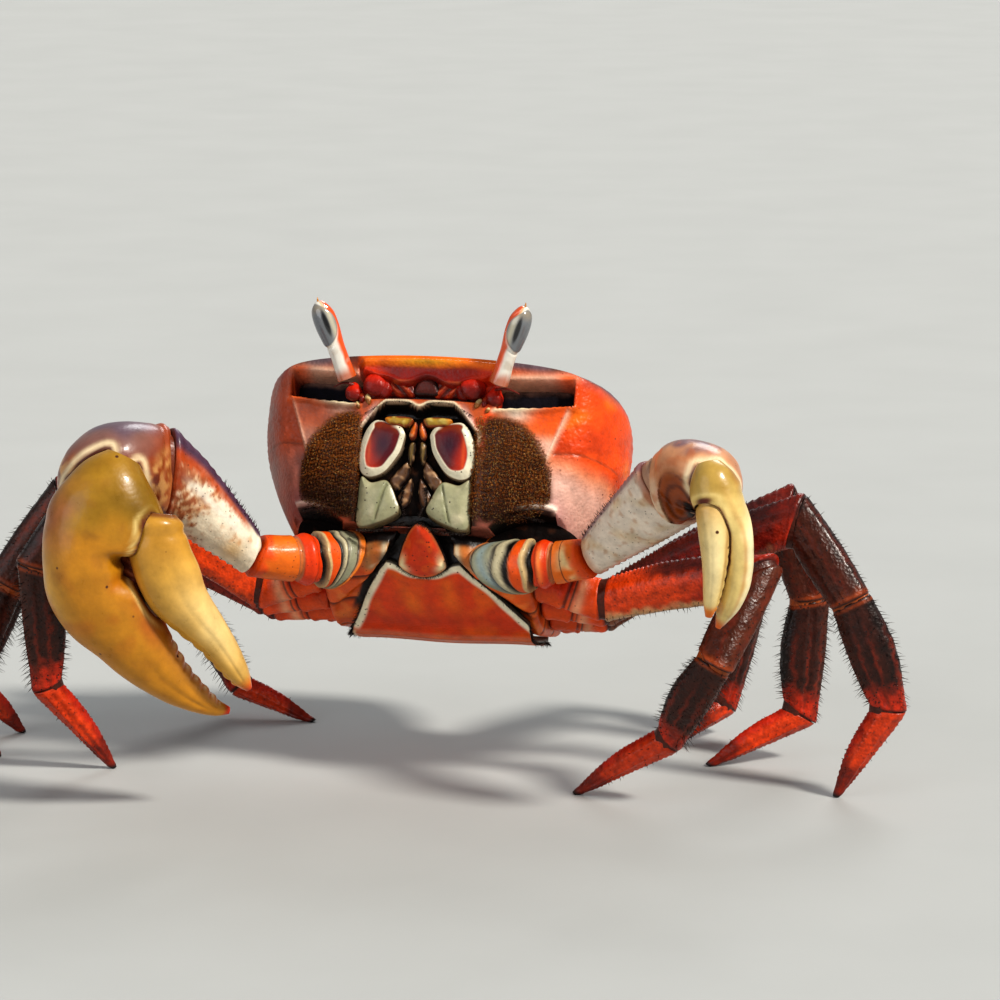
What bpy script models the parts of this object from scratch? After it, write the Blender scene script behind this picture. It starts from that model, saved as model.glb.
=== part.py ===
# Land crab, life size, standing with its front raised: a still display model.
# Lengths in the tables below are in millimetres and are turned to metres when a mesh is made.
# The crab faces -Y. "left" and "right" are the crab's own sides, so left is +X.
import bmesh
import bpy
import math
from mathutils import Matrix, Vector

unit = 0.001
gap = 0.3                      # air between neighbouring pieces
half_gap = gap / 2

# ---- driving dimensions of the body, in its own frame: x across, f forward, u up ----
shell_half_width = 50.0        # widest place of the carapace
shell_widest_at = 6.0          # how far forward the widest place lies
shell_front = 27.0             # the front rim of the side walls
shell_rear = -46.0             # the rear edge
front_reach = 40.0             # length of the front half of the plan ellipse
rear_reach = 60.7              # length of the rear half of the plan ellipse
shell_top = 15.8               # highest line of the back
top_fall = 0.0047              # how fast the back falls away forward and behind
side_level = 1.0               # level of the widest line on the sides
underside = -30.2              # lower rim at the front
underside_rise = 0.1           # the lower rim rises towards the rear
face_lean = 0.33               # the face leans back below the brow
face_round = 0.004             # and curves back at the sides
brow_forward = 33.0            # brow edge at the middle
brow_level = 10.9
wall_tuck = 0.76               # how far the side walls draw in at their lower rim
face_middle = -8.0             # level of the middle of the face

# ---- how the body is held over the floor ----
body_height = 87.0
nose_up = math.radians(36)
turn = math.radians(-14)
roll = math.radians(-0.2)

body_frame = (Matrix.Translation((0, 0, body_height)) @ Matrix.Rotation(turn, 4, "Z")
              @ Matrix.Rotation(-nose_up, 4, "X") @ Matrix.Rotation(roll, 4, "Y"))

# ---- colours, roughness ----
looks = {
    "shell": ((0.62, 0.17, 0.05), 0.35),
    "belly": ((0.72, 0.20, 0.05), 0.40),
    "eye": ((0.34, 0.37, 0.40), 0.20),
    "mouthpart": ((0.62, 0.66, 0.52), 0.45),
    "feeler": ((0.55, 0.05, 0.03), 0.35),
    "arm": ((0.78, 0.66, 0.52), 0.40),
    "claw": ((0.80, 0.56, 0.20), 0.35),
    "thigh": ((0.58, 0.09, 0.03), 0.38),
    "shin": ((0.10, 0.035, 0.02), 0.50),
    "toe": ((0.60, 0.05, 0.02), 0.40),
}


def clear_scene():
    for old in list(bpy.data.objects):
        bpy.data.objects.remove(old, do_unlink=True)


def make_material(kind):
    material = bpy.data.materials.get(kind)
    if material is None:
        colour, roughness = looks[kind]
        material = bpy.data.materials.new(kind)
        material.use_nodes = True
        surface = material.node_tree.nodes["Principled BSDF"]
        surface.inputs["Base Color"].default_value = (*colour, 1)
        surface.inputs["Roughness"].default_value = roughness
        surface.inputs["Metallic"].default_value = 0
    return material


def body_point(x, f, u):
    """A place given in the body's own frame, in the standing crab."""
    return body_frame @ Vector((x, -f, u))


def body_direction(x, f, u):
    return (body_frame.to_3x3() @ Vector((x, -f, u))).normalized()


def make_object(name, kind, points, faces, origin, parent):
    """One closed mesh; the points are in millimetres about the world origin."""
    mesh = bpy.data.meshes.new(name)
    mesh.from_pydata([(point - origin) * unit for point in points], [], faces)
    shape = bmesh.new()
    shape.from_mesh(mesh)
    bmesh.ops.recalc_face_normals(shape, faces=shape.faces)
    shape.to_mesh(mesh)
    shape.free()
    for face in mesh.polygons:
        face.use_smooth = True
    mesh.materials.append(make_material(kind))
    thing = bpy.data.objects.new(name, mesh)
    bpy.context.collection.objects.link(thing)
    thing.location = origin * unit
    thing.parent = parent
    return thing


def loft_faces(ring_count, ring_size, closed_start=True):
    faces = []
    for ring in range(ring_count - 1):
        low = ring * ring_size
        high = low + ring_size
        for side in range(ring_size):
            after = (side + 1) % ring_size
            faces.append((low + side, low + after, high + after, high + side))
    if closed_start:
        faces.append(tuple(reversed(range(ring_size))))
    last = (ring_count - 1) * ring_size
    faces.append(tuple(range(last, last + ring_size)))
    return faces


def slide_to_plane(point, along, plane_point, plane_normal):
    reach = along.dot(plane_normal)
    return point + along * ((plane_point - point).dot(plane_normal) / reach)


def smooth_value(values, place):
    """A value from an even list, place running from 0 to 1, on a rounded curve."""
    spot = place * (len(values) - 1)
    index = min(int(spot), len(values) - 2)
    part = spot - index
    before = values[max(index - 1, 0)]
    here = values[index]
    there = values[index + 1]
    beyond = values[min(index + 2, len(values) - 1)]
    first = (there - before) * 0.5
    second = (beyond - here) * 0.5
    return (here * (2 * part ** 3 - 3 * part ** 2 + 1) + first * (part ** 3 - 2 * part ** 2 + part)
            + there * (3 * part ** 2 - 2 * part ** 3) + second * (part ** 3 - part ** 2))


def make_limb(name, kind, parent, spine, upper, lower, thick, broad, start=None, end=None,
              sides=12, places=(0, 0.22, 0.42, 0.6, 0.8, 1)):
    """A shell tube along a bent spine.

    upper and lower are the half heights on the two sides of the spine, along the broad
    direction, and thick is the half thickness across it. start and end are planes that cut
    the two ends square to the joint, each a point and a normal.
    """
    rings = []
    for index, place in enumerate(places):
        centre = smooth_value(spine, place)
        ahead = (smooth_value(spine, min(place + 0.02, 1)) - smooth_value(spine, max(place - 0.02, 0)))
        ahead.normalize()
        rise = (broad - ahead * broad.dot(ahead)).normalized()
        across = ahead.cross(rise)
        high = smooth_value(upper, place)
        low = smooth_value(lower, place)
        width = smooth_value(thick, place)
        cut = None
        if index == 0:
            cut = start
        if index == len(places) - 1:
            cut = end
        for side in range(sides):
            angle = 2 * math.pi * side / sides
            lift = math.cos(angle)
            reach = high if lift > 0 else low
            point = centre + rise * (lift * reach) + across * (math.sin(angle) * width)
            if cut is not None:
                point = slide_to_plane(point, ahead, cut[0], cut[1])
            rings.append(point)
    faces = loft_faces(len(places), sides)
    return make_object(name, kind, rings, faces, spine[0].copy(), parent)


def joint_plane(before, joint, after):
    """The plane that halves the bend at a joint."""
    arriving = (joint - before).normalized()
    leaving = (after - joint).normalized()
    return (arriving + leaving).normalized()


# ======================= carapace =======================

def shell_width(f):
    reach = front_reach if f > shell_widest_at else rear_reach
    return shell_half_width * math.sqrt(max(0.0, 1 - ((f - shell_widest_at) / reach) ** 2))


def shell_height(f):
    return shell_top - top_fall * f * f


def shell_floor(f):
    return underside + underside_rise * (19 - f)


def face_forward(x, u):
    return brow_forward - face_lean * (brow_level - u) - face_round * x * x


def shell_outline(f, columns, rows):
    """The outline of one slice: left wall upwards, the back, right wall down, the underside."""
    width = shell_width(f)
    top = shell_height(f)
    low = shell_floor(f)
    points = []
    wall = []
    for row in range(rows):
        share = row / rows
        level = low + (side_level - low) * share
        wall.append((width * (1 - (1 - wall_tuck) * (1 - share) ** 1.7), level))
    over = []
    square = max(0.0, min(1.0, (f + 20) / 40))
    for column in range(columns + 1):
        angle = math.pi * column / columns
        side = -math.cos(angle)
        x = math.copysign(abs(side) ** (0.62 - 0.34 * square), side) * width
        over.append((x, side_level + (top - side_level) * math.sin(angle) ** (0.6 - 0.33 * square)))
    points.extend((-x, level) for x, level in wall)
    points.extend(over)
    points.extend((x, level) for x, level in reversed(wall))
    bottom = wall[0][0]
    for column in range(1, 8):
        points.append((bottom * (1 - column / 4), low))
    return points


def cut_with(target, cutter):
    cutter.hide_render = True
    cutter.display_type = "WIRE"
    cut = target.modifiers.new(cutter.name, "BOOLEAN")
    cut.operation = "DIFFERENCE"
    cut.solver = "EXACT"
    cut.object = cutter


def add_cutter(name, points, faces, target, parent):
    cut_with(target, make_object(name, "shell", points, faces, Vector((0, 0, 0)), parent))


def prism(outline, back, front):
    """A straight-sided block: outline in x and u, from depth back to front below the face."""
    points = []
    for depth in (back, front):
        for x, u in outline:
            points.append(body_point(x, face_forward(x, u) + depth, u))
    return points, loft_faces(2, len(outline))


def make_carapace(parent):
    columns = 22
    rows = 5
    slices = (27, 24, 18, 10, 0, -12, -24, -34, -41, -46)
    points = []
    for index, f in enumerate(slices):
        fade = max(0.0, min(1.0, (f + 12) / 39))
        for x, u in shell_outline(f, columns, rows):
            lean = (face_forward(x, u) - shell_front) * fade
            lower = max(0.0, (side_level - u) / (side_level - shell_floor(f)))
            points.append(body_point(x, f + lean, u - underside_rise * lean * lower))
    ring_size = len(points) // len(slices)
    faces = loft_faces(len(slices), ring_size, closed_start=False)
    # the face: rings shrinking towards the middle of the front
    rim = shell_outline(slices[0], columns, rows)
    face_rings = (0.75, 0.5, 0.25)
    first = len(points)
    for shrink in face_rings:
        for x, u in rim:
            inner_x = x * shrink
            inner_u = face_middle + (u - face_middle) * shrink
            points.append(body_point(inner_x, face_forward(inner_x, inner_u), inner_u))
    for ring in range(len(face_rings)):
        outer = 0 if ring == 0 else first + (ring - 1) * ring_size
        inner = first + ring * ring_size
        for side in range(ring_size):
            after = (side + 1) % ring_size
            faces.append((outer + after, outer + side, inner + side, inner + after))
    middle = len(points)
    points.append(body_point(0, face_forward(0, face_middle), face_middle))
    last = first + (len(face_rings) - 1) * ring_size
    for side in range(ring_size):
        faces.append((last + (side + 1) % ring_size, last + side, middle))
    return make_object("carapace", "shell", points, faces, body_point(0, 0, 0), parent)


socket_middle = (27.5, 6.2)    # middle of each eye socket on the face
socket_reach = (10.6, 3.0)     # half its length and half its height
socket_slope = 0.10            # each socket rises outwards
socket_depth = 9.0
pocket_outline = ((-19.3, 1.8), (-19.3, 6.0), (-8, 6.4), (8, 6.4), (19.3, 6.0), (19.3, 1.8))
pocket_depth = 3.0             # the pocket that holds the antennules
mouth_outline = ((-18.2, -35), (-18.6, -8), (-13, -1.5), (13, -1.5), (18.6, -8), (18.2, -35))
mouth_depth = 4.5
cutter_reach = 6.0             # how far every cutter stands out in front of the face


def rounded(value):
    return math.copysign(abs(value) ** 0.6, value)


def cut_face(carapace, parent):
    """The two eye sockets, the pocket of the antennules and the mouth frame."""
    for side, name in ((1, "left"), (-1, "right")):
        socket = []
        for step in range(16):
            angle = 2 * math.pi * step / 16
            x = socket_middle[0] + socket_reach[0] * rounded(math.cos(angle))
            u = socket_middle[1] + socket_reach[1] * rounded(math.sin(angle))
            socket.append((side * x, u + socket_slope * (x - 29)))
        if side < 0:
            socket.reverse()
        points, faces = prism(socket, -socket_depth, cutter_reach)
        add_cutter("socket_" + name, points, faces, carapace, parent)
    points, faces = prism(pocket_outline[::-1], -pocket_depth, cutter_reach)
    add_cutter("antennule_pocket", points, faces, carapace, parent)
    points, faces = prism(mouth_outline[::-1], -mouth_depth, cutter_reach)
    add_cutter("mouth_frame", points, faces, carapace, parent)


# ======================= underside =======================

# the middle line of the pleon from the telson's tip round to the rear: f, u, half width
pleon_line = (
    (8.6, -37.2, 10.2), (0, -41.6, 17.5), (-8, -45.4, 23), (-13, -47.6, 26.5), (-18, -47.2, 27.6),
    (-28, -43.0, 27), (-37, -39.0, 22), (-44, -36.0, 15))
pleon_lean = 0.20              # the pleon lies a little to the crab's left as it goes back
pleon_front = 6.2              # where it begins to lean
pleon_turn = -14.0             # where it leans farthest
pleon_end = -60.0              # where the lean would have run out again
pleon_half_limit = 26.8        # no plate reaches out over the hips
pleon_notch = 3.0              # how deep its front edge is hollowed to hold the telson
plate_thick = 2.4
thorax_half_width = 29.0


def pleon_drift(f):
    if f > pleon_turn:
        return pleon_lean * max(0.0, pleon_front - f)
    farthest = pleon_lean * (pleon_front - pleon_turn)
    return farthest * (f - pleon_end) / (pleon_turn - pleon_end)


def make_thorax(parent):
    """The block that carries the legs: its sides are flat where the legs stand against it."""
    wide = thorax_half_width
    # forward place, half width, lowest level at the sides, half width and level of the pleon's bed
    rows = ((13, 12.5, -36.0, 8.6, -31.0), (5, wide, -40.0, 14.6, -36.3), (-8, wide, -43.8, 27.0, -42.4),
            (-12.5, wide, -45.0, 27.4, -44.3), (-18, wide, -45.0, 27.4, -44.2),
            (-28, wide, -41.0, 27.4, -40.1), (-38, wide, -36.5, 27.4, -35.6), (-44, 18, -34.0, 17, -33.0))
    points = []
    for f, width, low, bed, bed_level in rows:
        top = shell_floor(f) - gap
        middle = (top + low) / 2
        corner = min(1.0, width - bed)
        half = ((width, top), (width, middle), (width, low + 1.2), (width - corner, low),
                (bed, low), (bed - 0.5, bed_level))
        outline = [(x, u) for x, u in half] + [(0, bed_level)] + [(-x, u) for x, u in reversed(half)]
        outline.append((0, top))
        for x, u in outline:
            points.append(body_point(x, f, u))
    faces = loft_faces(len(rows), len(points) // len(rows))
    make_object("thorax", "belly", points, faces, body_point(0, 0, -36), parent)


def make_pleon(parent):
    points = []
    for index, (f, u, width) in enumerate(pleon_line):
        before = pleon_line[max(index - 1, 0)]
        after = pleon_line[min(index + 1, len(pleon_line) - 1)]
        run_f = before[0] - after[0]
        run_u = before[1] - after[1]
        length = math.hypot(run_f, run_u)
        inward_f = -run_u / length
        inward_u = run_f / length
        drift = pleon_drift(f)
        outline = ((-1, 0.35), (-0.84, 0), (-0.62, 0), (0, 0), (0.62, 0), (0.84, 0), (1, 0.35),
                   (0.97, 1), (0.62, 1), (0, 1), (-0.62, 1), (-0.97, 1))
        for across, depth in outline:
            x = across * width + drift
            x = max(-pleon_half_limit, min(pleon_half_limit, x))
            inward = depth * plate_thick
            back = pleon_notch if index == 0 and abs(across) < 0.8 else 0
            points.append(body_point(x, f + inward_f * inward - run_f / length * back,
                                     u + inward_u * inward - run_u / length * back))
    # the hollowed front edge is closed strip by strip
    faces = loft_faces(len(pleon_line), 12, closed_start=False)
    faces.extend(((0, 1, 11), (1, 2, 10, 11), (2, 3, 9, 10), (3, 4, 8, 9), (4, 5, 7, 8), (5, 6, 7)))
    make_object("pleon", "belly", points, faces, body_point(0, 0, -44), parent)


telson_rear = 6.9              # forward place of its rear edge
telson_level = -38.4           # level of its outer face there
telson_slope = 0.88            # and how fast that face rises towards the mouth
telson_round = 5.2             # radius of its rounded tip
telson_round_at = 12.2         # forward place of that radius's centre


def make_telson(parent):
    """The small three-cornered end plate, tip towards the mouth."""
    outline = []
    for step in range(9):
        angle = math.pi * step / 8
        outline.append((telson_round * math.cos(angle), telson_round_at + telson_round * math.sin(angle)))
    outline.extend(((-6.6, 9.2), (-4.0, 7.2), (4.0, 7.2), (6.6, 9.2)))
    points = []
    for depth in (0.0, 1.0):
        for x, f in outline:
            outer = telson_level + (f - telson_rear) * telson_slope
            thick = max(0.6, 2.2 - 0.17 * (f - telson_rear))
            points.append(body_point(x, f, outer + depth * thick))
    faces = loft_faces(2, len(outline))
    make_object("telson", "belly", points, faces, body_point(0, 11, -35), parent)


# ======================= head pieces =======================

mouthpart_middle = -1.9        # the pair meets a little to the crab's right
mouthpart_outline = (
    (1.0, -8.0), (5.1, -5.2), (8.4, -4.5), (11.8, -4.1), (14.0, -5.7), (15.4, -8.7), (16.0, -12.0),
    (15.9, -16.0), (15.4, -24.0), (15.2, -30.4), (10.4, -30.2), (4.0, -27.2), (5.0, -23.2),
    (7.6, -18.6), (4.5, -11.9))
mouthpart_depths = (-3.9, -0.6)


def make_mouthpart(side, name, parent):
    """One third maxilliped: the two hard plates that close the mouth."""
    ordered = [(side * x + mouthpart_middle, u) for x, u in mouthpart_outline]
    points = []
    for depth in mouthpart_depths:
        for x, u in ordered:
            points.append(body_point(x, face_forward(x, u) + depth, u))
    faces = loft_faces(2, len(ordered))
    if side < 0:
        faces = [tuple(reversed(face)) for face in faces]
    make_object("maxilliped_" + name, "mouthpart", points, faces, body_point(side * 10, 22, -18), parent)


eye_bases = {"left": (17.6, 33.2, 6.4), "right": (-19.6, 33.0, 6.2)}
eye_tips = {"left": (28.2, 45.5, 21.4), "right": (-30.4, 45.3, 21.0)}


def make_eye(side, name, parent):
    base = body_point(*eye_bases[name])
    tip = body_point(*eye_tips[name])
    along = (tip - base).normalized()
    bend = body_direction(side, 0, 0) * 1.2
    spine = [base, base.lerp(tip, 0.3) - bend * 0.4, base.lerp(tip, 0.65) - bend * 0.3, tip]
    size = [2.5, 2.5, 2.6, 2.9, 2.8, 1.1]
    deep = [2.4, 2.4, 2.5, 2.8, 2.7, 1.1]
    make_limb("eye_" + name, "eye", parent, spine, size, size, deep, body_direction(1, 0, 0),
              start=(base, along), sides=10, places=(0, 0.2, 0.4, 0.55, 0.7, 0.85, 0.95, 1))


def make_antenna(side, name, parent):
    spot = (side * 21.5, 1.6)
    base = body_point(spot[0], face_forward(*spot) + gap + 0.5, spot[1])
    forward = body_direction(0, 1, 0)
    outward = body_direction(side, 0, 0.5)
    spine = [base, base + forward * 1.6, base + forward * 2.4 + outward * 1.8,
             base + forward * 2.6 + outward * 4.2]
    size = [1.5, 1.6, 0.8, 0.5, 0.4]
    make_limb("antenna_" + name, "feeler", parent, spine, size, size, size, body_direction(0, 0, 1),
              sides=8, places=(0, 0.2, 0.35, 0.5, 0.75, 1))


# ======================= claws =======================

claw_socket = (22.0, 8.4, -36.9)           # where each claw's base stands against the thorax

# Rows of carpus, palm and finger: x, y, z of the middle line, then the half width on the
# outer side, the half width on the inner side and the half thickness.
claws = {
    "right": {
        "shoulder": (-51.5, -34.0, 65.6),
        "hip_size": (6.2, 5.4), "arm_size": (5.0, 11.2, 4.5, 7.0),
        "elbow_facing": (-1.0, -0.42, 0.15),
        "carpus": (
            (-74.0, -42.0, 89.2, 12.4, 11.0, 6.5), (-80.2, -46.5, 92.8, 10.8, 9.8, 9.8),
            (-87.5, -49.5, 93.7, 9.8, 8.1, 12.5), (-93.8, -49.5, 89.4, 8.1, 6.5, 11.0),
            (-98.1, -48.0, 84.5, 3.3, 3.3, 5.0)),
        "palm": (
            (-83.2, -61.0, 97.0, 4.4, 5.0, 5.0), (-85.2, -62.5, 92.8, 8.6, 10.6, 8.0),
            (-87.2, -63.5, 87.6, 11.4, 15.8, 9.8), (-89.0, -64.0, 82.8, 13.0, 19.6, 10.4),
            (-90.4, -64.2, 78.6, 13.1, 17.4, 10.6), (-91.9, -64.4, 74.6, 12.2, 9.0, 10.7),
            (-92.9, -64.4, 69.4, 11.0, 9.9, 10.6), (-92.2, -64.0, 63.6, 10.9, 9.8, 10.0),
            (-88.6, -63.0, 57.2, 10.7, 12.6, 9.0), (-84.2, -61.8, 50.8, 8.6, 11.6, 8.0),
            (-80.1, -60.6, 45.0, 7.0, 10.4, 7.2), (-75.7, -59.2, 40.1, 5.7, 8.4, 6.2),
            (-70.6, -57.6, 35.6, 4.6, 6.2, 5.0), (-65.2, -56.0, 31.8, 3.2, 4.2, 3.8),
            (-60.6, -54.8, 29.4, 1.9, 2.2, 2.4), (-57.0, -54.0, 28.4, 0.8, 0.8, 0.9)),
        "finger": (
            (-74.2, -65.4, 83.2, 4.8, 4.8, 4.6), (-74.4, -66.0, 80.0, 6.9, 6.9, 6.4),
            (-74.2, -66.2, 76.0, 7.7, 7.7, 6.8), (-73.2, -66.2, 71.6, 8.0, 8.0, 7.0),
            (-71.4, -66.0, 66.8, 8.2, 8.2, 7.0), (-69.2, -65.4, 61.8, 7.6, 7.6, 6.8),
            (-65.6, -64.4, 56.8, 6.2, 6.2, 6.2), (-61.4, -63.2, 51.6, 5.0, 5.0, 5.4),
            (-58.0, -62.2, 46.6, 4.1, 4.1, 4.7), (-55.2, -61.2, 42.0, 3.3, 3.3, 3.9),
            (-53.0, -60.2, 38.2, 2.3, 2.3, 2.8), (-51.4, -59.6, 35.6, 0.9, 0.9, 1.0)),
    },
    "left": {
        "shoulder": (37.5, -38.0, 65.8),
        "hip_size": (5.8, 5.2), "arm_size": (4.8, 10.8, 4.2, 7.0),
        "elbow_facing": (0.55, -0.57, 0.61),
        "carpus": (
            (58.0, -58.0, 87.9, 10.8, 10.8, 7.0), (61.7, -62.0, 92.0, 9.8, 9.2, 9.5),
            (66.8, -66.0, 93.3, 8.1, 8.1, 10.5), (70.9, -68.0, 90.8, 6.0, 5.4, 9.0),
            (73.5, -68.0, 87.1, 2.2, 2.2, 4.0)),
        "palm": (
            (66.8, -77.0, 98.2, 3.2, 3.2, 3.6), (67.4, -78.4, 95.2, 5.6, 5.4, 6.0),
            (68.6, -79.0, 91.2, 6.6, 6.8, 6.8), (71.0, -79.2, 87.2, 5.4, 6.6, 6.8),
            (73.8, -79.0, 82.6, 4.0, 4.0, 6.4), (74.8, -79.0, 75.7, 3.5, 4.0, 5.8),
            (74.2, -78.2, 68.4, 3.5, 3.7, 5.0), (72.8, -77.4, 63.0, 2.8, 3.1, 3.9),
            (71.0, -76.6, 59.0, 1.9, 2.1, 2.7), (69.5, -76.0, 55.6, 0.8, 0.8, 0.9)),
        "finger": (
            (67.2, -80.8, 90.6, 2.6, 2.6, 3.2), (67.4, -81.4, 87.8, 4.1, 4.1, 4.4),
            (67.9, -82.0, 82.2, 4.2, 4.0, 4.7), (68.2, -82.0, 75.2, 3.4, 3.4, 4.4),
            (67.9, -81.4, 68.0, 2.6, 2.6, 3.6), (67.3, -80.6, 62.6, 1.8, 1.8, 2.4),
            (66.9, -80.0, 59.4, 0.9, 0.9, 1.0)),
    },
}


def make_row_piece(name, rows, outward, parent, kind, start=None, sides=12):
    """A claw piece from its rows, each a place on the middle line and the sizes there."""
    count = len(rows) - 1
    line = [Vector(row[0:3]) for row in rows]
    places = [index / count for index in range(count + 1)]
    return make_limb(name, kind, parent, line, [row[3] for row in rows], [row[4] for row in rows],
                     [row[5] for row in rows], outward, start=start, sides=sides, places=places)


def grown(rows):
    """The same piece, larger by twice the gap all round."""
    room = [(*row[0:3], row[3] + 2 * gap, row[4] + 2 * gap, row[5] + 2 * gap) for row in rows]
    top = room[0]
    room[0] = (top[0], top[1], top[2] + 2 * gap, *top[3:])
    return room


def make_claw(name, side, parent):
    sizes = claws[name]
    shoulder = Vector(sizes["shoulder"])
    elbow = Vector(sizes["carpus"][0][0:3])
    facing = Vector((0, -1, 0))
    outward = Vector((side, 0, 0))
    wall_normal = body_direction(side * 8, 16.5, 0)
    wall_point = body_point(side * claw_socket[0], claw_socket[1], claw_socket[2]) + wall_normal * gap
    # hip: from the thorax out to the arm
    high, wide = sizes["hip_size"]
    shoulder_normal = joint_plane(wall_point, shoulder, elbow)
    make_limb("cheliped_hip_" + name, "thigh", parent,
              [wall_point, wall_point.lerp(shoulder, 0.5) + facing * 1.5, shoulder],
              [high, high, high * 0.9], [high, high, high * 0.9], [wide, wide, wide * 0.95],
              Vector((0, 0, 1)), start=(wall_point, wall_normal),
              end=(shoulder - shoulder_normal * half_gap, shoulder_normal))
    # merus: thin at the hip and broad at the elbow
    elbow_normal = Vector(sizes["elbow_facing"]).normalized()
    small, large, thin, thick = sizes["arm_size"]
    heights = [small, (small + large) * 0.52, large]
    make_limb("cheliped_merus_" + name, "arm", parent, [shoulder, shoulder.lerp(elbow, 0.5), elbow],
              heights, heights, [thin, (thin + thick) * 0.5, thick],
              (elbow - shoulder).cross(facing).normalized(),
              start=(shoulder + shoulder_normal * half_gap, shoulder_normal),
              end=(elbow - elbow_normal * half_gap, elbow_normal))
    upward = Vector((0.5 * side, 0, 1)).normalized()
    carpus = make_row_piece("cheliped_carpus_" + name, sizes["carpus"], upward, parent, "arm",
                            start=(elbow + elbow_normal * half_gap, elbow_normal))
    palm = make_row_piece("cheliped_palm_" + name, sizes["palm"], outward, parent, "claw", sides=14)
    make_row_piece("cheliped_dactyl_" + name, sizes["finger"], outward, parent, "claw")
    # the palm is hollowed where the finger turns in it, and the carpus where it holds the palm
    cut_with(palm, make_row_piece("finger_bed_" + name, grown(sizes["finger"]), outward, parent, "claw"))
    cut_with(carpus, make_row_piece("palm_bed_" + name, grown(sizes["palm"]), outward, parent, "claw",
                                    sides=14))


# ======================= walking legs =======================

# where each pair's hip stands on the flat side of the thorax: f and u
hip_places = {2: (-0.6, -35.6), 3: (-11.6, -36.2), 4: (-22.6, -35.0), 5: (-33.4, -31.6)}

# half heights and half thicknesses in the order hip, merus, carpus, propodus, toe
leg_sizes = {
    2: {"high": (5.9, 6.6, 6.0, 5.9, 3.9), "thick": (4.4, 4.6, 4.6, 4.0, 2.8)},
    3: {"high": (6.0, 6.8, 6.2, 6.8, 4.2), "thick": (4.4, 4.6, 4.6, 4.0, 2.9)},
    4: {"high": (5.8, 6.6, 6.0, 6.6, 4.1), "thick": (4.4, 4.4, 4.4, 4.0, 2.8)},
    5: {"high": (5.2, 5.6, 4.9, 5.6, 3.6), "thick": (4.2, 4.0, 4.0, 3.6, 2.5)},
}

# the joints of each leg in the standing crab, and its toe on the floor
leg_joints = {
    ("left", 2): {"thigh": (41.5, -28, 52), "knee": (81.5, -47, 62.5), "shin": (69.5, -59, 42),
                  "ankle": (58.5, -44, 18), "toe": (34, -32)},
    ("left", 3): {"thigh": (42, -18, 48.5), "knee": (93, -30, 74.5), "shin": (106.5, -38, 54),
                  "ankle": (117, -39, 25), "toe": (103.5, -35)},
    ("left", 4): {"thigh": (42, -8, 44.5), "knee": (91, 2, 70.5), "shin": (98.5, 2, 46),
                  "ankle": (96.5, 2, 13.5), "toe": (71, -2)},
    ("left", 5): {"thigh": (41, 3.5, 41.5), "knee": (86, 24, 60.5), "shin": (84, 30, 40),
                  "ankle": (77, 32, 9), "toe": (60, 18.5)},
    ("right", 2): {"thigh": (-51, -7, 51), "knee": (-96, -14, 80), "shin": (-111, -16, 59),
                   "ankle": (-109, -13, 25), "toe": (-92, -4)},
    ("right", 3): {"thigh": (-50, 3, 47), "knee": (-106, 8, 72), "shin": (-122, 6, 49),
                   "ankle": (-135, -4, 21), "toe": (-125, 8.5)},
    ("right", 4): {"thigh": (-47, 13.5, 43), "knee": (-103, 27, 67), "shin": (-122, 30, 46),
                   "ankle": (-135, 28, 17), "toe": (-121, 36)},
    ("right", 5): {"thigh": (-41, 22, 41), "knee": (-77, 47, 56), "shin": (-73, 55, 32),
                   "ankle": (-61, 58, 8.5), "toe": (-39.5, 48.5)},
}

toe_flat = 0.9                 # half width of the flat on which each toe stands


def make_leg(name, number, side, parent):
    joints = leg_joints[(name, number)]
    high = leg_sizes[number]["high"]
    thick = leg_sizes[number]["thick"]
    hip_f, hip_u = hip_places[number]
    wall_normal = body_direction(side, 0, 0)
    start = body_point(side * (thorax_half_width + gap), hip_f, hip_u)
    thigh = Vector(joints["thigh"])
    knee = Vector(joints["knee"])
    shin = Vector(joints["shin"])
    ankle = Vector(joints["ankle"])
    toe = Vector((*joints["toe"], 0))
    stops = [start, thigh, knee, shin, ankle, toe]
    names = ["hip", "merus", "carpus", "propodus", "dactyl"]
    kinds = ["thigh", "thigh", "shin", "shin", "toe"]
    swells = [(1.0, 1.0, 0.95), (0.84, 1.0, 0.95), (0.9, 1.0, 0.9), (0.84, 1.0, 0.68), (1.0, 0.8, 0.3)]
    leg_across = (knee - thigh).cross(Vector((0, 0, -1))).normalized()
    row_across = body_direction(0, 1, 0)
    for index, part in enumerate(names):
        here = stops[index]
        there = stops[index + 1]
        along = (there - here).normalized()
        if index == 0:
            begin = (here, wall_normal)
        else:
            normal = joint_plane(stops[index - 1], here, there)
            begin = (here + normal * half_gap, normal)
        if index == len(names) - 1:
            finish = (there, Vector((0, 0, 1)))
        else:
            normal = joint_plane(here, there, stops[index + 2])
            finish = (there - normal * half_gap, normal)
        side_way = row_across if index == 0 else leg_across
        broad = along.cross(side_way).normalized()
        if broad.z < 0:
            broad = -broad
        bow = broad * (there - here).length * (0.03 if index in (1, 3, 4) else 0.0)
        spine = [here, here.lerp(there, 0.5) + bow, there]
        heights = [high[index] * swell for swell in swells[index]]
        widths = [thick[index] * swell for swell in swells[index]]
        if index == len(names) - 1:
            heights[2] = toe_flat
            widths[2] = toe_flat
        places = (0, 0.32, 0.5, 0.68, 1) if part in ("hip", "carpus") else (0, 0.22, 0.42, 0.6, 0.8, 1)
        make_limb("leg%d_%s_%s" % (number, part, name), kinds[index], parent, spine, heights, heights,
                  widths, broad, start=begin, end=finish, places=places)


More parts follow.
